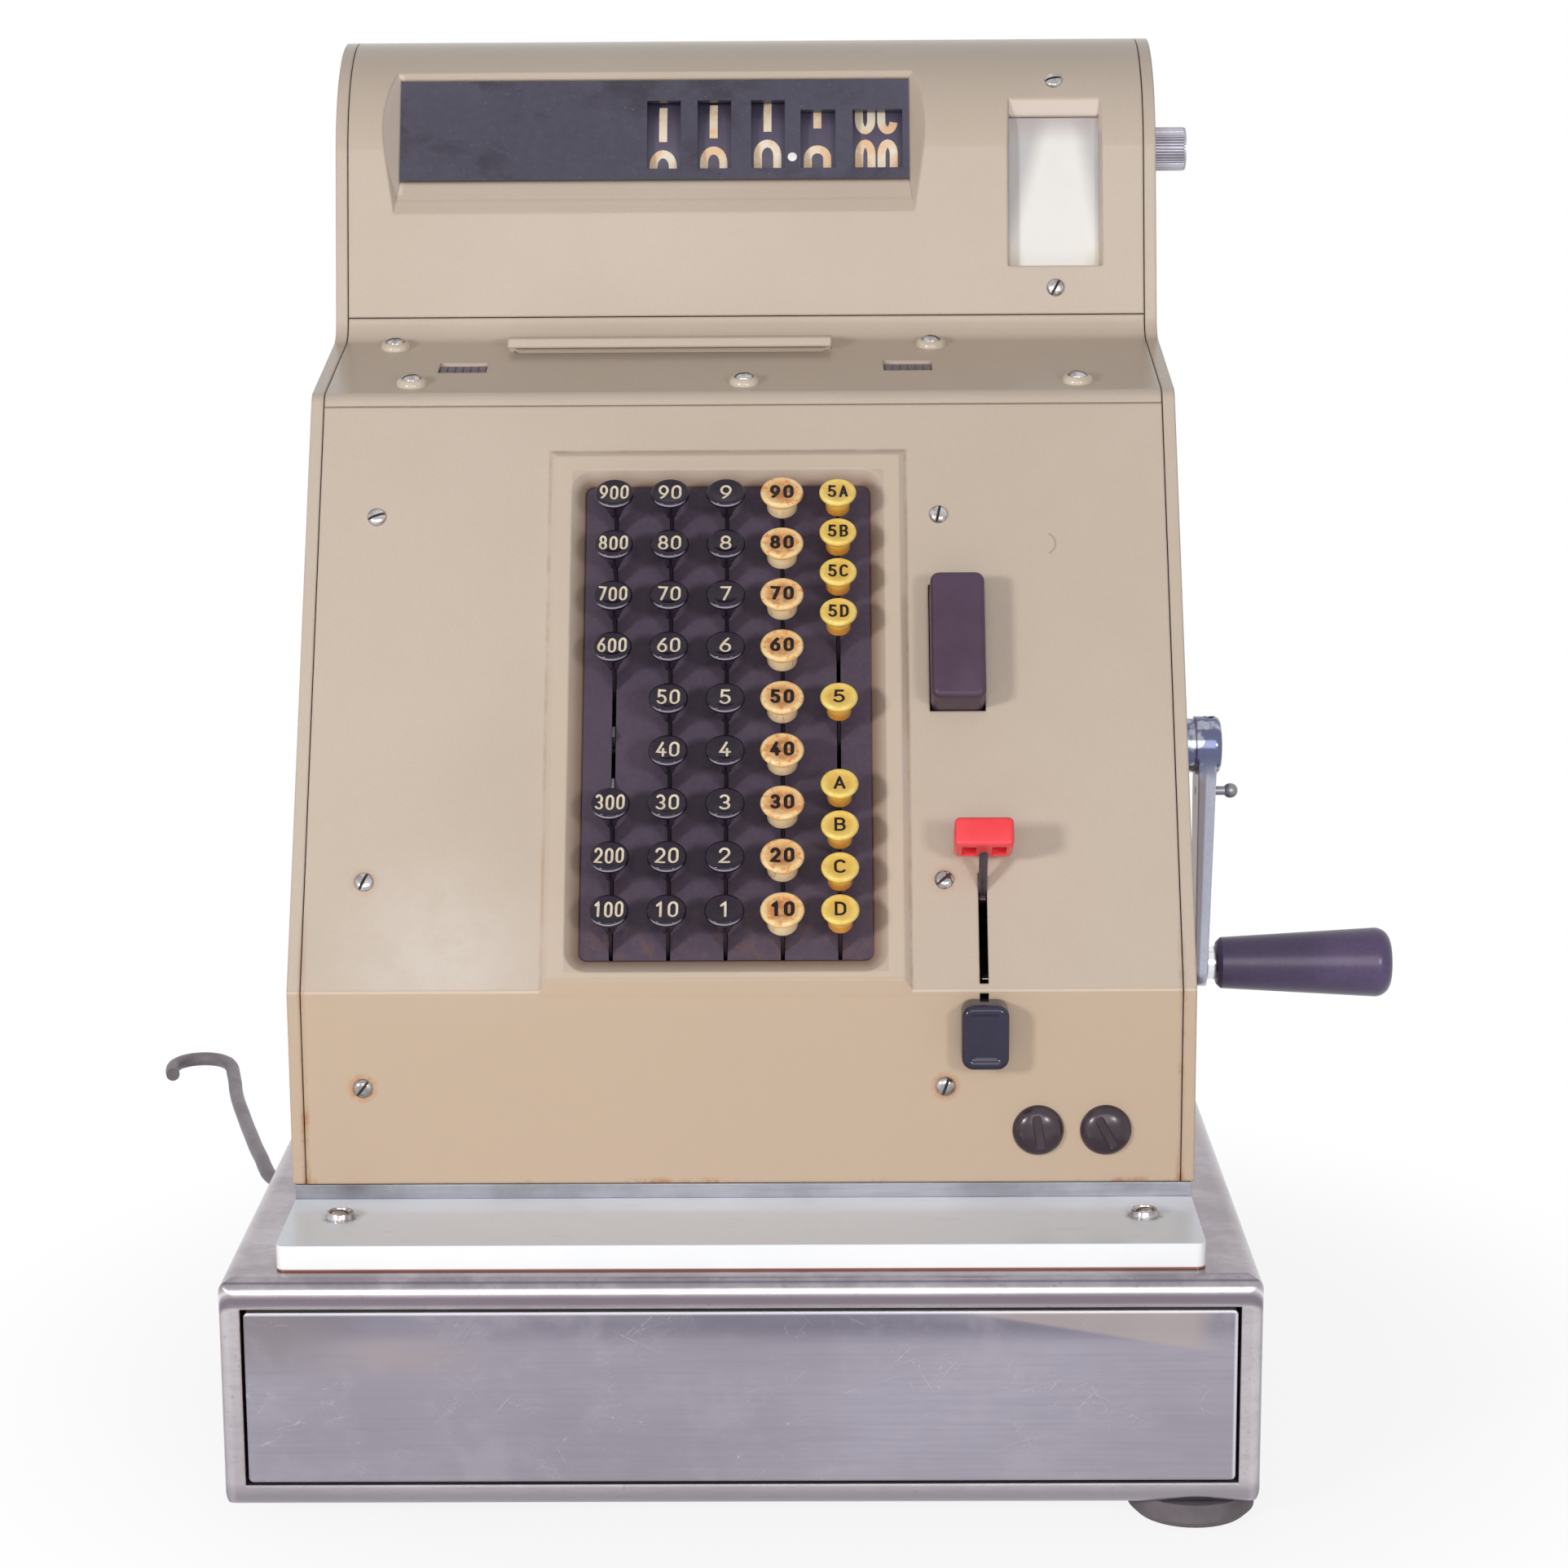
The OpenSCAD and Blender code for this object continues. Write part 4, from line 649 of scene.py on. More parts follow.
# finishes: tint and shade are the two colours of a slow patchy noise, rough the range of a smeary one
finishSet = {
    "paint": {
        "name": "agedBeigePaint", "tint": (204, 188, 172), "shade": (198, 181, 164), "patchScale": 4.0,
        "grain": 0.12, "grainScale": 900.0, "grainTint": (172, 152, 136), "stainsAndShading": paintStains,
        "rough": (0.22, 0.26), "bump": 0.06, "round": 0.0016},
    "cup": {
        "name": "paintedCup", "tint": (212, 198, 180), "shade": (204, 188, 168), "patchScale": 120.0,
        "rough": (0.16, 0.26), "bump": 0.05, "vary": True},
    "cabinet": {
        "name": "wornPlating", "tint": (200, 194, 198), "shade": (184, 177, 183), "patchScale": 14.0,
        "grain": 0.25, "grainScale": 260.0, "grainTint": (152, 144, 150), "grainStretch": (0.25, 1.0, 1.0),
        "stainsAndShading": cabinetStains, "metal": 0.9, "rough": (0.17, 0.265), "bump": 0.04, "bumpScale": 300.0,
        "round": 0.0015},
    "drawer": {
        "name": "brushedDrawerSteel", "tint": (166, 161, 174), "shade": (153, 147, 159), "patchScale": 7.0,
        "patchStretch": (0.6, 1.0, 1.0), "grain": 0.22, "grainScale": 700.0, "grainTint": (136, 130, 143),
        "grainStretch": (0.03, 1.0, 1.0), "stainsAndShading": drawerStains, "metal": 0.85, "rough": (0.28, 0.4),
        "bump": 0.04, "bumpScale": 900.0, "bumpStretch": (0.04, 1.0, 1.0), "round": 0.0015},
    "opal": {
        "name": "opalGlass", "tint": (248, 249, 250), "shade": (244, 246, 247), "patchScale": 6.0,
        "stainsAndShading": glassStains, "rough": (0.2, 0.26), "gloss": 0.35, "bump": 0.01, "through": 0.1},
    "trim": {
        "name": "trimAluminium", "tint": (180, 181, 190), "shade": (152, 152, 160), "patchScale": 24.0,
        "grain": 0.3, "grainScale": 500.0, "grainTint": (128, 126, 134), "grainStretch": (0.05, 1.0, 1.0),
        "metal": 1.0, "rough": (0.28, 0.38), "bump": 0.03, "round": 0.0008},
    "blackPlate": {
        "name": "keyPlateEnamel", "tint": (84, 72, 87), "shade": (77, 65, 80), "patchScale": 18.0,
        "grain": 0.25, "grainScale": 420.0, "grainTint": (100, 86, 104), "stainsAndShading": keyPlateStains,
        "rough": (0.30, 0.46), "gloss": 0.15, "bump": 0.05},
    "darkGlass": {
        "name": "indicatorPlateGloss", "tint": (76, 72, 90), "shade": (66, 62, 80), "patchScale": 13.0,
        "grain": 0.15, "grainScale": 260.0, "grainTint": (98, 92, 108), "stainsAndShading": plateStains,
        "rough": (0.16, 0.26), "bump": 0.02},
    "frosted": {
        "name": "frostedPane", "tint": (240, 237, 233), "shade": (233, 229, 225), "patchScale": 14.0,
        "stainsAndShading": paneStains, "rough": (0.3, 0.42), "gloss": 0.3, "bump": 0.02},
    "screw": {
        "name": "agedScrewSteel", "tint": (204, 202, 206), "shade": (150, 144, 142), "patchScale": 190.0,
        "grain": 0.25, "grainScale": 900.0, "grainTint": (112, 88, 68), "metal": 0.95,
        "rough": (0.16, 0.26), "bump": 0.05, "vary": True},
    "slotShade": {
        "name": "screwSlot", "tint": (70, 62, 58), "shade": (46, 40, 38), "patchScale": 190.0,
        "rough": (0.5, 0.7), "bump": 0.05, "vary": True},
    "brown": {
        "name": "brownPlug", "tint": (62, 46, 56), "shade": (48, 34, 43), "patchScale": 60.0,
        "rough": (0.16, 0.26), "bump": 0.08, "bumpScale": 350.0, "vary": True},
    "iron": {
        "name": "frameIron", "tint": (110, 110, 112), "shade": (84, 84, 88), "patchScale": 30.0,
        "grain": 0.3, "grainScale": 300.0, "grainTint": (70, 66, 64), "metal": 0.6, "rough": (0.45, 0.7),
        "bump": 0.12},
    "tray": {
        "name": "trayPlastic", "tint": (86, 86, 88), "shade": (72, 72, 74), "patchScale": 20.0,
        "rough": (0.4, 0.6), "bump": 0.08, "round": 0.0008},
    "chrome": {
        "name": "crankChrome", "tint": (182, 186, 200), "shade": (164, 166, 180), "patchScale": 22.0,
        "patchStretch": (1.0, 1.0, 0.2), "grain": 0.12, "grainScale": 420.0, "grainTint": (110, 102, 100),
        "stainsAndShading": chromeStains, "metal": 1.0, "rough": (0.06, 0.16), "bump": 0.02, "round": 0.0012},
    "rod": {
        "name": "leverRod", "tint": (98, 90, 95), "shade": (66, 58, 65), "patchScale": 60.0, "metal": 0.9,
        "rough": (0.28, 0.4), "bump": 0.04},
    "steel": {
        "name": "turnedSteel", "tint": (150, 150, 154), "shade": (128, 128, 132), "patchScale": 30.0,
        "metal": 1.0, "rough": (0.28, 0.42), "bump": 0.03},
    "stem": {
        "name": "darkKeyStem", "tint": (58, 50, 60), "shade": (44, 38, 46), "patchScale": 90.0,
        "metal": 0.5, "rough": (0.35, 0.5), "bump": 0.05},
    "grip": {
        "name": "gripPlastic", "tint": (84, 66, 106), "shade": (70, 54, 90), "patchScale": 22.0,
        "grain": 0.15, "grainScale": 500.0, "grainTint": (112, 100, 122), "rough": (0.28, 0.36),
        "bump": 0.05},
    "maroon": {
        "name": "maroonBar", "tint": (78, 58, 78), "shade": (68, 49, 67), "patchScale": 34.0,
        "rough": (0.34, 0.48), "gloss": 0.35, "bump": 0.06},
    "red": {
        "name": "redKnob", "tint": (246, 72, 80), "shade": (240, 60, 68), "patchScale": 60.0,
        "rough": (0.3, 0.44), "bump": 0.04},
    "black": {
        "name": "blackKeyGloss", "tint": (42, 30, 48), "shade": (32, 22, 38), "patchScale": 120.0,
        "grain": 0.15, "grainScale": 700.0, "grainTint": (74, 60, 76), "stainsAndShading": blackStains,
        "rough": (0.05, 0.12), "gloss": 0.24, "bump": 0.02, "vary": True},
    "button": {
        "name": "blackButton", "tint": (44, 38, 64), "shade": (36, 31, 54), "patchScale": 60.0,
        "rough": (0.08, 0.18), "gloss": 0.4, "bump": 0.02},
    "knob": {
        "name": "knurledAluminium", "tint": (199, 197, 207), "shade": (180, 178, 188), "patchScale": 80.0,
        "stainsAndShading": knobStains, "metal": 1.0, "rough": (0.38, 0.48), "bump": 0.04},
    "drum": {
        "name": "drumBlack", "tint": (84, 77, 97), "shade": (75, 68, 88), "patchScale": 40.0,
        "rough": (0.45, 0.6), "bump": 0.05},
    "ivory": {
        "name": "agedIvory", "tint": (252, 222, 166), "shade": (246, 204, 140), "patchScale": 190.0,
        "stainsAndShading": ivoryStains, "rough": (0.2, 0.265), "bump": 0.04, "through": 0.08, "vary": True},
    "yellow": {
        "name": "agedYellow", "tint": (250, 222, 126), "shade": (242, 204, 96), "patchScale": 170.0,
        "stainsAndShading": yellowStains, "rough": (0.2, 0.265), "bump": 0.03, "through": 0.08, "vary": True},
    "rubber": {
        "name": "footRubber", "tint": (112, 104, 108), "shade": (92, 84, 88), "patchScale": 40.0,
        "rough": (0.6, 0.8), "bump": 0.2, "bumpScale": 250.0},
    "cord": {
        "name": "greyCord", "tint": (146, 138, 144), "shade": (124, 116, 124), "patchScale": 40.0,
        "grain": 0.2, "grainScale": 500.0, "grainTint": (96, 88, 96), "rough": (0.4, 0.55), "bump": 0.06},
    "cream": {
        "name": "legendCream", "tint": (240, 228, 204), "shade": (226, 206, 176), "patchScale": 300.0,
        "rough": (0.4, 0.55), "bump": 0.02, "vary": True},
    "figure": {
        "name": "drumFigure", "tint": (244, 232, 210), "shade": (238, 220, 194), "patchScale": 60.0,
        "stainsAndShading": figureStains, "rough": (0.4, 0.55), "bump": 0.02},
    "ink": {
        "name": "legendInk", "tint": (34, 26, 26), "shade": (24, 18, 20), "patchScale": 300.0,
        "rough": (0.4, 0.55), "gloss": 0.2, "bump": 0.02, "vary": True},
    "wheel": {
        "name": "counterWheel", "tint": (118, 108, 116), "shade": (98, 88, 98), "patchScale": 400.0,
        "rough": (0.4, 0.6), "bump": 0.05},
    "dot": {
        "name": "pointDot", "tint": (250, 248, 244), "shade": (244, 240, 234), "patchScale": 300.0,
        "rough": (0.3, 0.4), "bump": 0.02},
}
surfaceSet = {
    "smearScale": 14.0, "bumpScale": 500.0, "bumpDepth": 0.0004, "roundSamples": 4,
    "throughRadius": (0.004, 0.003, 0.002), "throughScale": 0.4,
}


def makeFinish(look):
    mat = bpy.data.materials.new(look["name"])
    tree = emptyTree(mat)
    local = coord = outOf(tree, "ShaderNodeTexCoord", out="Object")
    if look.get("vary"):  # the same piece repeats, so each gets its own patch of noise
        coord = local.vector("ADD", outOf(tree, "ShaderNodeObjectInfo", out="Location"))
    patch = coord.noise(look["patchScale"], 4.0, 0.6, look.get("patchStretch"))
    colour = patch.fade(0.32, 0.68).mix(tint(*look["shade"]), tint(*look["tint"]))
    if "grain" in look:
        grain = coord.noise(look["grainScale"], 2.0, 0.7, look.get("grainStretch"))
        colour = grain.fade(0.35, 0.75, 0.0, look["grain"]).mix(colour, tint(*look["grainTint"]))
    if "stainsAndShading" in look:
        for amount, shade in look["stainsAndShading"](coord, local):
            colour = amount.mix(colour, tint(*shade))
    smear = coord.noise(surfaceSet["smearScale"], 5.0, 0.65)
    height = coord.noise(look.get("bumpScale", surfaceSet["bumpScale"]), 3.0, 0.6, look.get("bumpStretch"))
    bump = {"Strength": look["bump"], "Distance": surfaceSet["bumpDepth"], "Height": height}
    if "round" in look:
        edge = {"Radius": look["round"]}
        bump["Normal"] = outOf(tree, "ShaderNodeBevel", edge, samples=surfaceSet["roundSamples"])
    values = {
        "Base Color": colour, "Roughness": smear.fade(0.3, 0.72, *look["rough"]),
        "Metallic": look.get("metal", 0.0), "Specular IOR Level": look.get("gloss", 0.5),
        "Normal": outOf(tree, "ShaderNodeBump", bump),
    }
    if "through" in look:
        values["Subsurface Weight"] = look["through"]
        values["Subsurface Radius"] = surfaceSet["throughRadius"]
        values["Subsurface Scale"] = surfaceSet["throughScale"]
    shader = outOf(tree, "ShaderNodeBsdfPrincipled", values)
    addNode(tree, "ShaderNodeOutputMaterial", {"Surface": shader})
    return mat


finishes = {kind: makeFinish(look) for kind, look in finishSet.items()}
nodeFinish = {
    "base_cabinet": "cabinet", "rubber_feet": "rubber", "drawer_tray": "tray", "drawer_front": "drawer",
    "change_plate": "opal", "trim_strip": "trim", "left_side_panel": "paint", "right_side_panel": "paint",
    "front_panel": "paint", "key_plate": "blackPlate", "print_ledge": "paint", "top_cover": "paint",
    "back_cover": "paint", "indicator_plate": "darkGlass", "journal_pane": "frosted", "cover_screws": "screw",
    "panel_plugs": "brown", "mechanism_frame": "iron", "main_shaft": "steel", "crank_arm": "chrome",
    "crank_grip": "grip", "crank_plunger": "steel", "motor_bar": "maroon", "red_lever": "red",
    "black_lever": "button", "paper_knob": "knob", "cord_gland": "rubber", "power_cord": "cord",
}
familyFinish = {"indicator_drum": "drum", "black_keys": "black", "ivory_key": "ivory", "yellow_key": "yellow"}


def finishOf(name):
    for start, finish in familyFinish.items():
        if name.startswith(start):
            return finishes[finish]
    return finishes[nodeFinish[name]]


for name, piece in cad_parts.items():
    piece.data.materials.clear()
    piece.data.materials.append(finishOf(name))
mainsCord.data.materials.append(finishes["cord"])
print("register: finishes set")


# mesh tools: a form is points in millimetres and faces, and a shape gathers forms and numbers their finishes
def addTo(shape, form, kind=0, place=None):
    points, faces = form
    start = len(shape["points"])
    for point in points:
        point = Vector(point)
        shape["points"].append(place @ point if place else point)
    shape["faces"] += [[start + i for i in face] for face in faces]
    shape["kinds"] += [kind] * len(faces)


def shapeOf(*forms, kind=0):
    shape = {"points": [], "faces": [], "kinds": []}
    for form in forms:
        addTo(shape, form, kind)
    return shape


def ringFaces(rings, count, closed=False):
    faces = []
    for i in range(rings if closed else rings - 1):
        a, b = i * count, (i + 1) % rings * count
        for k in range(count):
            n = (k + 1) % count
            faces.append((a + k, a + n, b + n, b + k))
    return faces


def loft(rings, closed=False):
    # a skin through rings of equal length, with a cap at each end unless it closes on itself
    count = len(rings[0])
    faces = ringFaces(len(rings), count, closed)
    if not closed:
        faces.append(tuple(range(count))[::-1])
        faces.append(tuple((len(rings) - 1) * count + k for k in range(count)))
    return [p for ring in rings for p in ring], faces


def lathe(profile, steps=48):
    # (radius, height) from the top of the axis to its foot, both ends on the axis
    inner = profile[1:-1]
    points = [(0.0, 0.0, profile[0][1])]
    for radius, height in inner:
        for k in range(steps):
            turn = 360.0 * k / steps
            points.append((radius * cosine(turn), radius * sine(turn), height))
    points.append((0.0, 0.0, profile[-1][1]))
    faces = [tuple(1 + i for i in face) for face in ringFaces(len(inner), steps)]
    last = len(points) - 1
    for k in range(steps):
        n = (k + 1) % steps
        faces.append((0, 1 + n, 1 + k))
        faces.append((last, last - steps + k, last - steps + n))
    return points, faces


def roundRing(width, depth, radius, height, steps=6):
    points = []
    for cx, cy, start in ((1, 1, 0), (-1, 1, 90), (-1, -1, 180), (1, -1, 270)):
        for k in range(steps + 1):
            turn = start + 90.0 * k / steps
            points.append((cx * (width / 2 - radius) + radius * cosine(turn),
                           cy * (depth / 2 - radius) + radius * sine(turn), height))
    return points


def roundBlock(width, depth, low, high, corner, edge, steps=5):
    # a block with rounded corners, and rounded edges at both ends
    def end(height, sign):
        rings = []
        for k in range(steps + 1):
            inset = edge * (1 - sine(90.0 * k / steps))
            rise = edge * (1 - cosine(90.0 * k / steps))
            radius = max(corner - inset, 0.2)
            rings.append(roundRing(width - 2 * inset, depth - 2 * inset, radius, height + sign * rise))
        return rings
    return loft(end(low, 1) + end(high, -1)[::-1])


def boxForm(low, high):
    (a, b, c), (d, e, f) = low, high
    points = [(a, b, c), (d, b, c), (d, e, c), (a, e, c), (a, b, f), (d, b, f), (d, e, f), (a, e, f)]
    return points, [(0, 3, 2, 1), (4, 5, 6, 7), (0, 1, 5, 4), (1, 2, 6, 5), (2, 3, 7, 6), (3, 0, 4, 7)]


def rodBetween(start, end, radius, steps=20):
    start, end = Vector(start), Vector(end)
    ahead = (end - start).normalized()
    side = ahead.orthogonal().normalized()
    other = ahead.cross(side)
    turns = [360.0 * k / steps for k in range(steps)]
    around = [radius * (cosine(turn) * side + sine(turn) * other) for turn in turns]
    return loft([[place + step for step in around] for place in (start, end)])


smoothBelow = 32.0  # edges that turn by more stay sharp


def smoothMesh(mesh, sharp):
    mesh.shade_smooth()
    mesh.set_sharp_from_angle(angle=math.radians(sharp))
    return mesh


def meshOf(name, shape, kinds, sharp=smoothBelow):
    mesh = bpy.data.meshes.new(name)
    mesh.from_pydata([p * mm for p in shape["points"]], [], shape["faces"])
    for kind in kinds:
        mesh.materials.append(finishes[kind])
    mesh.polygons.foreach_set("material_index", shape["kinds"])
    work = bmesh.new()
    work.from_mesh(mesh)
    bmesh.ops.recalc_face_normals(work, faces=work.faces)
    work.to_mesh(mesh)
    work.free()
    return smoothMesh(mesh, sharp)


def cutMesh(name, mesh, cutter):
    # takes the cutter's shape out of a mesh
    base = addObject(name + "Base", mesh)
    tool = addObject(name + "Tool", meshOf(name + "Tool", cutter, []))
    cut = base.modifiers.new("cut", "BOOLEAN")
    cut.operation = "DIFFERENCE"
    cut.solver = "EXACT"
    cut.object = tool
    bpy.context.view_layer.update()
    made = bpy.data.meshes.new_from_object(base.evaluated_get(bpy.context.evaluated_depsgraph_get()))
    made.name = name
    for spent in (base, tool):
        bpy.data.objects.remove(spent)
    return smoothMesh(made, smoothBelow)


def setPiece(name, mesh, place, body, nodes=()):
    piece = addObject(name, mesh)
    piece.matrix_world = place
    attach(piece, body)
    if nodes:
        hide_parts(*nodes)


# figures and letters as strokes in a box 0.6 wide and 1 high
def arc(cx, cy, rx, ry, start, end, steps=12):
    turns = [start + (end - start) * k / steps for k in range(steps + 1)]
    return [(cx + rx * cosine(turn), cy + ry * sine(turn)) for turn in turns]


def bow(a, b, c, steps=8):
    points = []
    for k in range(steps + 1):
        t = k / steps
        points.append(tuple((1 - t) ** 2 * a[i] + 2 * t * (1 - t) * b[i] + t * t * c[i] for i in (0, 1)))
    return points


def loop(cx, cy, rx, ry, steps=24):
    return arc(cx, cy, rx, ry, 0, 360, steps)[:-1]


glyphWidth = 0.6
glyphs = {  # each stroke is its points and whether it closes
    "0": [(arc(0.3, 0.7, 0.3, 0.3, 0, 180) + arc(0.3, 0.3, 0.3, 0.3, 180, 360), True)],
    "1": [([(0.1, 0.78), (0.36, 1.0), (0.36, 0.0)], False)],
    "2": [(arc(0.3, 0.72, 0.29, 0.28, 170, -35) + [(0.0, 0.0), (0.6, 0.0)], False)],
    "3": [(arc(0.28, 0.745, 0.26, 0.255, 150, -90), False), (arc(0.28, 0.25, 0.3, 0.25, 90, -150), False)],
    "4": [([(0.4, 1.0), (0.0, 0.3), (0.62, 0.3)], False), ([(0.44, 0.55), (0.44, 0.0)], False)],
    "5": [([(0.54, 1.0), (0.11, 1.0), (0.07, 0.56)] + arc(0.28, 0.32, 0.31, 0.32, 130, -150), False)],
    "6": [(loop(0.3, 0.31, 0.3, 0.31), True), (bow((0.48, 1.0), (0.12, 0.72), (0.01, 0.36)), False)],
    "7": [([(0.02, 1.0), (0.6, 1.0), (0.2, 0.0)], False)],
    "8": [(loop(0.3, 0.76, 0.25, 0.24), True), (loop(0.3, 0.27, 0.3, 0.27), True)],
    "9": [(loop(0.3, 0.69, 0.3, 0.31), True), (bow((0.12, 0.0), (0.48, 0.28), (0.59, 0.64)), False)],
    "A": [([(0.0, 0.0), (0.3, 1.0), (0.6, 0.0)], False), ([(0.11, 0.33), (0.49, 0.33)], False)],
    "B": [([(0.34, 0.53), (0.04, 0.53), (0.04, 1.0), (0.34, 1.0)] + arc(0.34, 0.765, 0.22, 0.235, 90, -90),
           False),
          ([(0.04, 0.53), (0.04, 0.0), (0.34, 0.0)] + arc(0.34, 0.265, 0.25, 0.265, -90, 90), False)],
    "C": [(arc(0.31, 0.68, 0.31, 0.32, 35, 180) + arc(0.31, 0.32, 0.31, 0.32, 180, 325), False)],
    "D": [([(0.03, 0.0), (0.03, 1.0), (0.25, 1.0)] + arc(0.25, 0.66, 0.34, 0.34, 90, 0)
           + arc(0.25, 0.34, 0.34, 0.34, 0, -90), True)],
    "bar": [([(0.3, 1.0), (0.3, 0.0)], False)],
    "hook": [(arc(0.3, 0.72, 0.3, 0.28, 20, 180) + arc(0.3, 0.28, 0.3, 0.28, 180, 350), False)],
}
ribbonSet = {
    "step": 0.9, "tightest": 0.62,  # longest step along a stroke, and the limit on a sharp corner's width
    "section": ((-1.0, -0.1), (-1.0, 0.6), (-0.7, 1.0), (0.7, 1.0), (1.0, 0.6), (1.0, -0.1)),
    "roundEnds": (75.0, 50.0, 25.0), "squareEnds": (),
}


def evenSteps(points, closed, longest):
    made = []
    for a, b in zip(points, points[1:] + points[:1] if closed else points[1:]):
        parts = max(1, math.ceil(math.dist(a, b) / longest))
        made += [(a[0] + (b[0] - a[0]) * k / parts, a[1] + (b[1] - a[1]) * k / parts) for k in range(parts)]
    return made if closed else made + [points[-1]]


def strokeForm(points, closed, half, lift, surface, ends):
    # a low ribbon; surface(x, y, height) seats it, and ends are the angles that round off an open one
    points = [p for i, p in enumerate(points) if i == 0 or math.dist(p, points[i - 1]) > 1e-4]
    points = evenSteps(points, closed, ribbonSet["step"])
    count = len(points)
    stations = []
    for i, place in enumerate(points):
        before = points[i - 1] if closed or i > 0 else place
        after = points[(i + 1) % count] if closed or i < count - 1 else place
        into, out = Vector(place) - Vector(before), Vector(after) - Vector(place)
        into = into.normalized() if into.length else out.normalized()
        out = out.normalized() if out.length else into
        ahead = (into + out).normalized()
        stations.append((Vector(place), ahead, half / max(ribbonSet["tightest"], ahead.dot(out))))
    if not closed:
        first, last = stations[0], stations[-1]
        head = [(first[0] - first[1] * half * sine(a), first[1], half * cosine(a)) for a in ends]
        tail = [(last[0] + last[1] * half * sine(a), last[1], half * cosine(a)) for a in ends[::-1]]
        stations = head + stations + tail
    rings = []
    for place, ahead, width in stations:
        side = Vector((ahead.y, -ahead.x))
        spots = [(place + side * (across * width), up * lift) for across, up in ribbonSet["section"]]
        rings.append([surface(spot.x, spot.y, height) for spot, height in spots])
    return loft(rings, closed)


def writeOn(shape, text, size, pen, surface, kind, gap=0.26, ends="roundEnds"):
    # text centred on the surface's own middle, in a box of that size, with a pen's half width and height
    width, height = size
    half, lift = pen
    cell = width / (len(text) + gap * (len(text) - 1))
    inner = cell - 2 * half
    tall = height - 2 * half
    for n, sign in enumerate(text):
        left = -width / 2 + n * cell * (1 + gap) + half
        for points, closed in glyphs[sign]:
            placed = [(left + x / glyphWidth * inner, -tall / 2 + y * tall) for x, y in points]
            addTo(shape, strokeForm(placed, closed, half, lift, surface, ribbonSet[ends]), kind)


# keys: a cap on a flat stem, with its figure
keySet = {
    "columnX": -6.8, "columnStep": 24.45, "firstRow": 21.0, "rowStep": 23.7, "letterStep": 18.6,
    "letterHigh": 154.8, "tilt": 24.5, "length": 24.5, "stem": (1.2, 6.0), "stemIn": 18.0, "inkLift": 0.07,
    "missing": (4, 5), "broken": (-6.0, 2.2),
}
blackCap = {
    "cap": "black", "ink": "cream", "slot": "black_plastic", "dish": (0.9, 7.1),
    "profile": [(7.55, -0.06), (7.98, -0.26), (8.28, -0.62), (8.45, -1.12), (8.5, -1.8), (8.4, -2.5),
                (7.95, -3.2), (6.9, -4.5), (5.2, -7.4), (3.5, -10.8), (2.7, -12.6), (2.4, -14.0),
                (0.0, -14.0)],
    "foot": 12.0, "height": 8.6, "widths": {1: 5.0, 2: 10.0, 3: 12.7}, "half": 0.52,
}
ivoryCap = {
    "cap": "ivory", "ink": "ink", "slot": "ivory_plastic", "dish": (0.75, 7.9),
    "profile": [(8.4, -0.02), (8.85, -0.2), (9.2, -0.6), (9.4, -1.2), (9.3, -1.9), (8.9, -2.6), (8.2, -3.2),
                (7.4, -3.8), (6.95, -4.5), (6.8, -5.4), (6.55, -10.2), (6.2, -10.8), (5.6, -11.0),
                (0.0, -11.0)],
    "foot": 10.0, "height": 8.4, "widths": {2: 10.4}, "half": 0.82,
}
yellowCap = {
    "cap": "yellow", "ink": "ink", "slot": "yellow_plastic", "dish": (0.7, 6.8),
    "profile": [(7.2, -0.02), (7.6, -0.2), (7.9, -0.6), (8.1, -1.2), (8.0, -1.9), (7.6, -2.6), (6.9, -3.3),
                (6.1, -3.9), (5.65, -4.6), (5.5, -5.4), (5.3, -10.2), (5.0, -10.8), (4.5, -11.0),
                (0.0, -11.0)],
    "foot": 10.0, "height": 7.6, "widths": {1: 5.2, 2: 9.0}, "half": 0.6,
}


def stemFoot(x, s):
    return keyPanel @ shift(x, s, -bodySet["sheet"]) @ spin(-keySet["tilt"], "X")


def stemForm(low, high):
    thick, wide = keySet["stem"]
    return boxForm((-thick / 2, -wide / 2, low), (thick / 2, wide / 2, high))


def makeKey(name, look, text, x, s, body):
    depth, rim = look["dish"]
    bowl = [(rim * k / 7, -depth * (1 - (k / 7) ** 2)) for k in range(8)]
    shape = shapeOf(lathe(bowl + look["profile"], 56))
    addTo(shape, stemForm(-keySet["length"] - keySet["stemIn"], -look["foot"]), 1)

    def onDish(u, v, height):
        return (u, v, height - depth * max(0.0, 1 - (u * u + v * v) / (rim * rim)))

    size = (look["widths"][len(text)], look["height"])
    writeOn(shape, text, size, (look["half"], keySet["inkLift"]), onDish, 2)
    mesh = meshOf(name, shape, [look["cap"], "stem", look["ink"]])
    setPiece(name, mesh, stemFoot(x, s) @ shift(0.0, 0.0, keySet["length"]), body, [body])


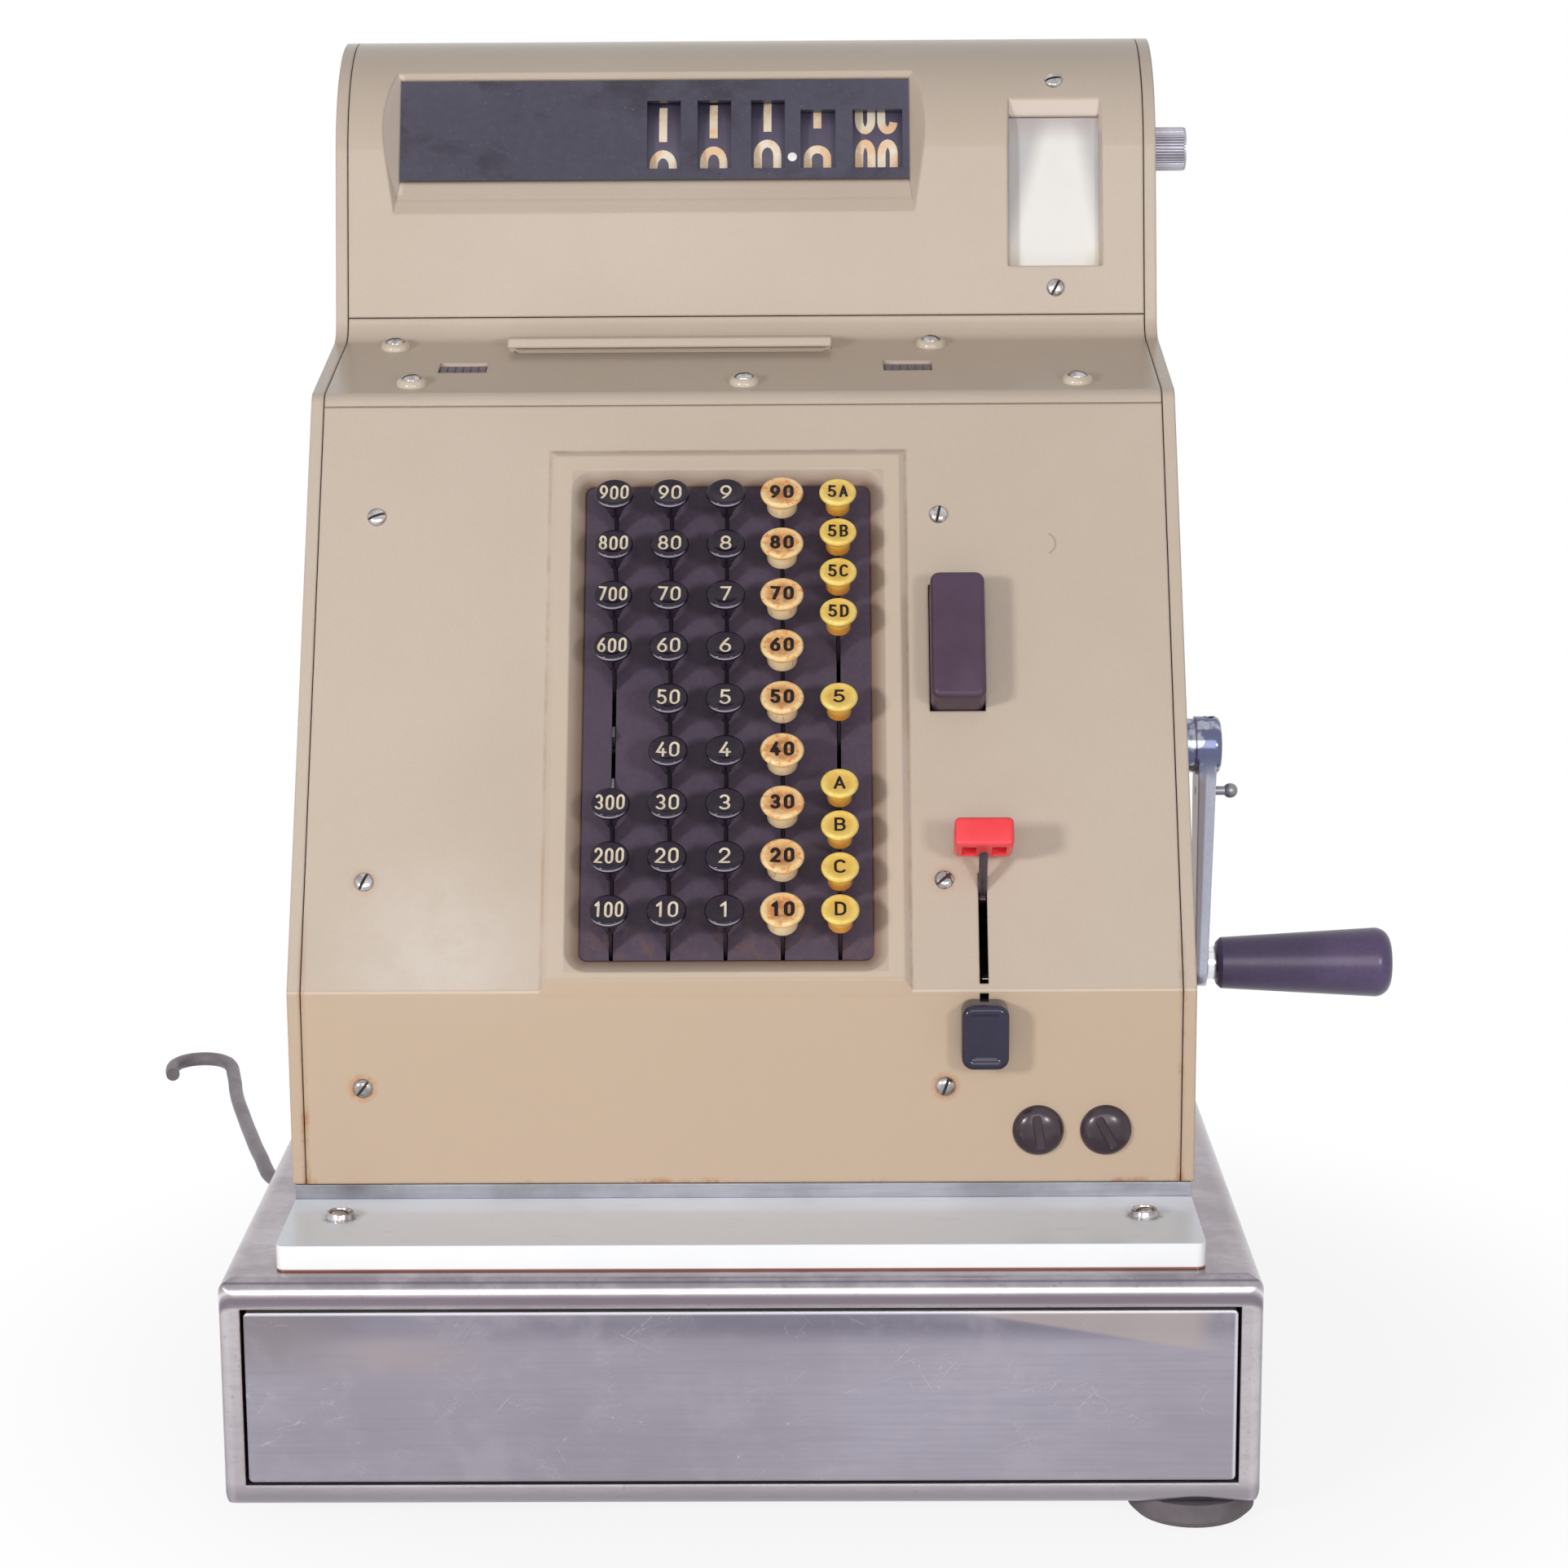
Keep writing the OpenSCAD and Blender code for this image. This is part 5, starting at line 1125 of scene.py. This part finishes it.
def makeKeys():
    columns = [keySet["columnX"] + (n - 2) * keySet["columnStep"] for n in range(5)]
    rows = {row: keySet["firstRow"] + (row - 1) * keySet["rowStep"] for row in range(1, 10)}
    for row, s in rows.items():
        for column, zeros in enumerate(("00", "0", "")):
            if column > 0 or row not in keySet["missing"]:
                text = str(row) + zeros
                makeKey("blackKey" + text, blackCap, text, columns[column], s, "black_keys_row_%d" % row)
        tens = str(row * 10)
        makeKey("ivoryKey" + tens, ivoryCap, tens, columns[3], s, "ivory_key_" + tens)
    for n, letter in enumerate("DCBA"):
        for start, text in ((keySet["firstRow"], letter), (keySet["letterHigh"], "5" + letter)):
            s = start + n * keySet["letterStep"]
            makeKey("letterKey" + text, yellowCap, text, columns[4], s, "yellow_key_" + text.lower())
    makeKey("letterKey5", yellowCap, "5", columns[4], rows[5], "yellow_key_5")
    for row in keySet["missing"]:  # broken stems in the gaps of the first column
        mesh = meshOf("bareStem", shapeOf(stemForm(*keySet["broken"])), ["steel"])
        setPiece("bareStem%d00" % row, mesh, stemFoot(columns[0], rows[row]), "register")


makeKeys()
print("register: keys made")


# number drums: figures round each rim, two of them side by side on the last
drumSet = {
    "windowUp": 8.0, "axisIn": 45.0, "radius": 40.0, "step": 36.0, "pen": (1.9, 0.12), "gap": 0.1,
    "drums": [
        {"x": -39.3, "start": -24.4, "size": (13.0, 23.0)},
        {"x": -15.3, "start": -22.0, "size": (13.0, 23.0)},
        {"x": 10.3, "start": -17.4, "size": (13.0, 23.0)},
        {"x": 34.0, "start": -18.4, "size": (13.0, 18.4)},
        {"x": 62.0, "start": -17.4, "size": (20.2, 22.4), "pairs": (["0", "0"], ["0", "hook"])},
    ],
}


def makeFigures():
    lean = bodySet["plateLean"]
    middle = stepFrom(plateAt, drumSet["windowUp"], lean)
    axis = (middle[0] + drumSet["axisIn"] * cosine(lean), middle[1] - drumSet["axisIn"] * sine(lean))
    place = faceFrame(axis, lean)
    for n, drum in enumerate(drumSet["drums"]):
        shape = shapeOf()
        for figure in range(10):
            turn = drum["start"] + figure * drumSet["step"]

            def onRim(u, v, height, turn=turn, x=drum["x"]):
                reach = drumSet["radius"] + height
                around = turn + math.degrees(v / drumSet["radius"])
                return (x + u, reach * sine(around), reach * cosine(around))

            if "pairs" in drum:
                text = drum["pairs"][figure % 2]
            else:
                text = ["bar"] if figure == 1 else [str(figure)]
            writeOn(shape, text, drum["size"], drumSet["pen"], onRim, 0, drumSet["gap"], "squareEnds")
        name = "drumFigures%d" % (n + 1)
        setPiece(name, meshOf(name, shape, ["figure"]), place, "indicator_drum_%d" % (n + 1))


makeFigures()


# the white point on the indicator plate
dotSet = {"x": 22.1, "up": -3.3, "radius": 2.2, "rise": 0.25}


def makeDot(look):
    radius, rise = look["radius"], look["rise"]
    profile = [(0.0, rise), (radius * 0.8, rise), (radius * 0.95, rise * 0.6), (radius, 0.0), (0.0, 0.0)]
    mesh = meshOf("pointDot", shapeOf(lathe(profile, 32)), ["dot"])
    setPiece("pointDot", mesh, plateFace @ shift(look["x"], look["up"], 0.0), "register")


makeDot(dotSet)
print("register: drums and point made")


# screws: slotted heads, some in cup washers
cupSet = {
    "painted": [(0.0, 2.3), (4.3, 2.3), (4.5, 3.0), (5.0, 3.15), (5.8, 2.8), (6.6, 1.9), (7.0, 0.8),
                (7.05, 0.0), (0.0, 0.0)],
    "steel": [(0.0, 1.8), (4.4, 1.9), (4.7, 2.8), (5.2, 3.0), (5.6, 2.8), (6.1, 1.2), (6.3, 0.3),
              (6.3, 0.0), (0.0, 0.0)],
}


def slottedHead():
    radius, rise = screwSet["headRadius"], screwSet["headHeight"]
    shares = [(0.0, 1.0), (0.35, 0.98), (0.62, 0.88), (0.83, 0.66), (0.95, 0.4), (1.0, 0.16)]
    profile = [(radius * out, rise * up) for out, up in shares] + [(radius, -0.3), (0.0, -0.3)]
    wide, deep = screwSet["slot"]
    slot = boxForm((-2 * radius, -wide / 2, rise - deep), (2 * radius, wide / 2, rise + 2.0))
    head = meshOf("slottedHead", shapeOf(lathe(profile, 40)), ["screw", "slotShade"])
    return cutMesh("slottedHead", head, shapeOf(slot, kind=1))


def coverScrewSpots():
    angle, out, x = screwSet["crownAngle"], bodySet["crownRadius"], screwSet["housingX"]
    crownSpot = (crownAt[0] - out * cosine(angle), crownAt[1] + out * sine(angle))
    places = [keyPanel @ shift(*at, 0.0) for at in screwSet["panel"]]
    places += [frontPanel @ shift(*at, 0.0) for at in screwSet["lower"]]
    places += [faceFrame(crownSpot, angle) @ shift(x, 0.0, 0.0), topFace @ shift(x, screwSet["faceUp"], 0.0)]
    return zip(places, screwSet["panelTurns"] + screwSet["lowerTurns"] + screwSet["housingTurns"])


def makeScrews():
    head = slottedHead()
    paintedCup = meshOf("paintedCup", shapeOf(lathe(cupSet["painted"])), ["cup"])
    steelCup = meshOf("steelCup", shapeOf(lathe(cupSet["steel"])), ["screw"])

    def setHead(name, place, turn):
        setPiece(name, head, place @ spin(turn, "Z"), "register", ["cover_screws"])

    for n, (place, turn) in enumerate(coverScrewSpots(), 1):
        setHead("coverScrew%d" % n, place, turn)
    for n, (at, turn) in enumerate(zip(screwSet["ledge"], screwSet["ledgeTurns"]), 1):
        place = ledgeFace @ shift(*at, 0.0)
        setPiece("ledgeCup%d" % n, paintedCup, place, "register", ["cover_screws"])
        setHead("ledgeScrew%d" % n, place @ shift(0.0, 0.0, screwSet["ledgeSeat"]), turn)
    for n, (at, turn) in enumerate(zip(screwSet["plate"], screwSet["plateTurns"]), 1):
        place = Matrix.Translation(rowPoint(*at, screwSet["plateTop"]))
        setPiece("plateCup%d" % n, steelCup, place, "register", ["cover_screws"])
        setHead("plateScrew%d" % n, place @ shift(0.0, 0.0, screwSet["plateSeat"]), turn)


makeScrews()


# blank plugs: low domes with a short slot
plugSet = {
    "x": (126.2, 155.0), "up": 23.0, "radius": 11.0, "rise": 5.5, "turns": (98, 119),
    "dome": [(0.0, 0.0), (0.3, 0.2), (0.55, 0.75), (0.74, 1.5), (0.84, 2.2), (0.91, 3.0), (0.97, 4.0),
             (1.0, 5.0)],  # share of the radius, and the fall from the top
    "slot": (16.5, 4.0, 1.3), "slotCorner": 1.9, "slotEdge": 0.6,
}


def makePlugs(look):
    radius, rise = look["radius"], look["rise"]
    profile = [(radius * out, rise - fall) for out, fall in look["dome"]] + [(radius, 0.0), (0.0, 0.0)]
    length, wide, deep = look["slot"]
    slot = roundBlock(length, wide, rise - deep, rise + 4.0, look["slotCorner"], look["slotEdge"])
    mesh = meshOf("blankPlug", shapeOf(lathe(profile, 56)), ["brown"])
    mesh = cutMesh("blankPlug", mesh, shapeOf(slot))
    for n, (x, turn) in enumerate(zip(look["x"], look["turns"]), 1):
        place = frontPanel @ shift(x, look["up"], 0.0) @ spin(turn, "Z")
        setPiece("blankPlug%d" % n, mesh, place, "register", ["panel_plugs"])


makePlugs(plugSet)
print("register: screws and plugs made")


# motor bar: a long button with soft edges
barSet = {
    "x": 93.8, "s": 154.5, "width": 23.5, "length": 58.0, "low": -10.0, "high": 18.0, "corner": 4.0,
    "edge": 2.6,
}


def makeMotorBar(look):
    bar = roundBlock(*(look[size] for size in ("width", "length", "low", "high", "corner", "edge")))
    mesh = meshOf("motorBar", shapeOf(bar), ["maroon"])
    place = keyPanel @ shift(look["x"], look["s"], 0.0)
    setPiece("motorBar", mesh, place, "motor_bar", ["motor_bar"])


makeMotorBar(barSet)


# red lever: a hollow knob on a steel rod, and the flat blade behind the slot
redSet = {
    "x": 103.0, "pivotS": 25.5, "arm": 100.0, "swing": 10.0, "knob": (25.0, 12.7, 18.0), "knobS": 61.85,
    "knobN": 19.98, "corner": 2.4, "edge": 1.8, "pocket": (19.0, 5.0, 12.0), "web": 3.2, "rod": 1.9,
    "blade": (3.0, 6.0), "bladeCorner": 0.6, "bladeEdge": 0.4, "eye": (4.05, 8.0, 7.0),
}


def makeRedKnob(look):
    wide, tall, high = look["knob"]
    across, deep, up = look["pocket"]
    middle, web = look["knobN"], look["web"]
    knob = roundBlock(wide, tall, middle - high / 2, middle + high / 2, look["corner"], look["edge"])
    pockets = [boxForm((left, -tall, middle - up / 2), (right, -tall / 2 + deep, middle + up / 2))
               for left, right in ((-across / 2, -web), (web, across / 2))]
    mesh = cutMesh("redKnob", meshOf("redKnob", shapeOf(knob), ["red"]), shapeOf(*pockets))
    place = keyPanel @ shift(look["x"], look["knobS"], 0.0)
    setPiece("redKnob", mesh, place, "red_lever", ["red_lever"])


def makeRedBlade(look):
    arm, swing = look["arm"], look["swing"]
    crossing = (0.0, arm * sine(swing), arm * (cosine(swing) - 1) - 1.0)
    underKnob = (0.0, look["knobS"] - look["pivotS"] - look["knob"][1] / 2 + 2.0, look["knobN"] - 1.5)
    shape = shapeOf(rodBetween(crossing, underKnob, look["rod"]))
    hole, outer, width = look["eye"]
    thick, broad = look["blade"]
    blade = roundBlock(thick, broad, outer - 1.0, arm + 0.5, look["bladeCorner"], look["bladeEdge"], 3)
    addTo(shape, blade, 0, Matrix.Translation((0.0, 0.0, -arm)) @ spin(-swing, "X"))
    rings = []
    for radius, side in ((hole, -width / 2), (outer, -width / 2), (outer, width / 2), (hole, width / 2)):
        rings.append([(side, radius * cosine(10.0 * k), radius * sine(10.0 * k) - arm) for k in range(36)])
    addTo(shape, loft(rings, True))
    place = keyPanel @ shift(look["x"], look["pivotS"], 0.0)
    setPiece("redLeverBlade", meshOf("redLeverBlade", shape, ["rod"]), place, "red_lever",
             ["red_lever"])


makeRedKnob(redSet)
makeRedBlade(redSet)


# black lever: a dished button on a flat tongue
blackSet = {
    "x": 103.0, "up": 67.2, "size": (20.0, 28.0, 14.5), "corner": 5.0, "edge": 2.4, "gap": 1.0,
    "dish": [(3.2, 0.12), (3.9, 0.5), (4.5, 0.85), (5.6, 1.05), (7.0, 1.2), (8.6, 1.3)],  # inset and depth
    "tongue": (3.0, 10.0, 18.0), "tongueTop": 2.0,
}


def makeBlackLever(look):
    wide, tall, high = look["size"]
    corner, edge, gap = look["corner"], look["edge"], look["gap"]

    def insetRing(inset, height, least=0.0):
        return roundRing(wide - 2 * inset, tall - 2 * inset, max(corner - inset, least), height)

    rings = [insetRing(0.5, gap), insetRing(0.0, gap + 0.6)]
    for turn in range(0, 91, 15):
        rings.append(insetRing(edge * (1 - cosine(turn)), high - edge * (1 - sine(turn))))
    rings += [insetRing(inset, high - fall, 0.6) for inset, fall in look["dish"]]
    shape = shapeOf(loft(rings))
    thick, deep, inside = look["tongue"]
    head, top = look["tongueTop"], tall / 2 - 1.0
    addTo(shape, boxForm((-thick / 2, top - deep, head - inside), (thick / 2, top, head)))
    place = frontPanel @ shift(look["x"], look["up"], 0.0)
    mesh = meshOf("blackLever", shape, ["button"])
    setPiece("blackLever", mesh, place, "black_lever", ["black_lever"])


makeBlackLever(blackSet)


# paper knob: a ribbed sleeve
knobSet = {
    "at": (365.0, 555.5), "startX": 194.3, "endX": 211.1, "radius": 10.02, "rib": 0.4, "ribs": 44,
    "chamfer": 0.8, "fall": 0.36, "sharp": 20.0,
}


def makeKnobSleeve(look):
    steps = look["ribs"] * 4
    start, end, chamfer = look["startX"], look["endX"], look["chamfer"]
    rings = []
    for x, fall in ((start, look["fall"]), (start + chamfer, 0.0), (end - chamfer, 0.0), (end, look["fall"])):
        ring = []
        for k in range(steps):
            radius = look["radius"] + (look["rib"] if k % 4 in (1, 2) else 0.0) - fall
            turn = 360.0 * k / steps
            ring.append((x, radius * cosine(turn), radius * sine(turn)))
        rings.append(ring)
    mesh = meshOf("knobSleeve", shapeOf(loft(rings)), ["knob"], look["sharp"])
    place = Matrix.Translation(rowPoint(0.0, *look["at"]))
    setPiece("knobSleeve", mesh, place, "paper_knob")


makeKnobSleeve(knobSet)


# counters behind the two small windows in the ledge
counterSet = {
    "x": (-128.8, 74.8), "up": 42.5, "size": (21.0, 15.0), "floor": -1.9, "rise": 1.2, "edge": 0.3,
    "wheels": 6, "gap": 0.3,
}


def wheelForm(look, left, right):
    long = look["size"][1]
    floor = look["floor"]
    rings = []
    for side in (left, right):
        arch = [(side, -long / 2 + long * k / 8, floor + look["edge"] + look["rise"] * sine(180.0 * k / 8))
                for k in range(9)]
        rings.append([(side, -long / 2, floor)] + arch + [(side, long / 2, floor)])
    return loft(rings)


def makeCounters(look):
    wide = look["size"][0]
    step, gap = wide / look["wheels"], look["gap"]
    lefts = [-wide / 2 + k * step + gap / 2 for k in range(look["wheels"])]
    for n, x in enumerate(look["x"], 1):
        shape = shapeOf(*(wheelForm(look, left, left + step - gap) for left in lefts))
        name = "counterWheels%d" % n
        place = ledgeFace @ shift(x, look["up"], 0.0)
        setPiece(name, meshOf(name, shape, ["wheel"]), place, "register")


makeCounters(counterSet)
print("register: controls and counters made")
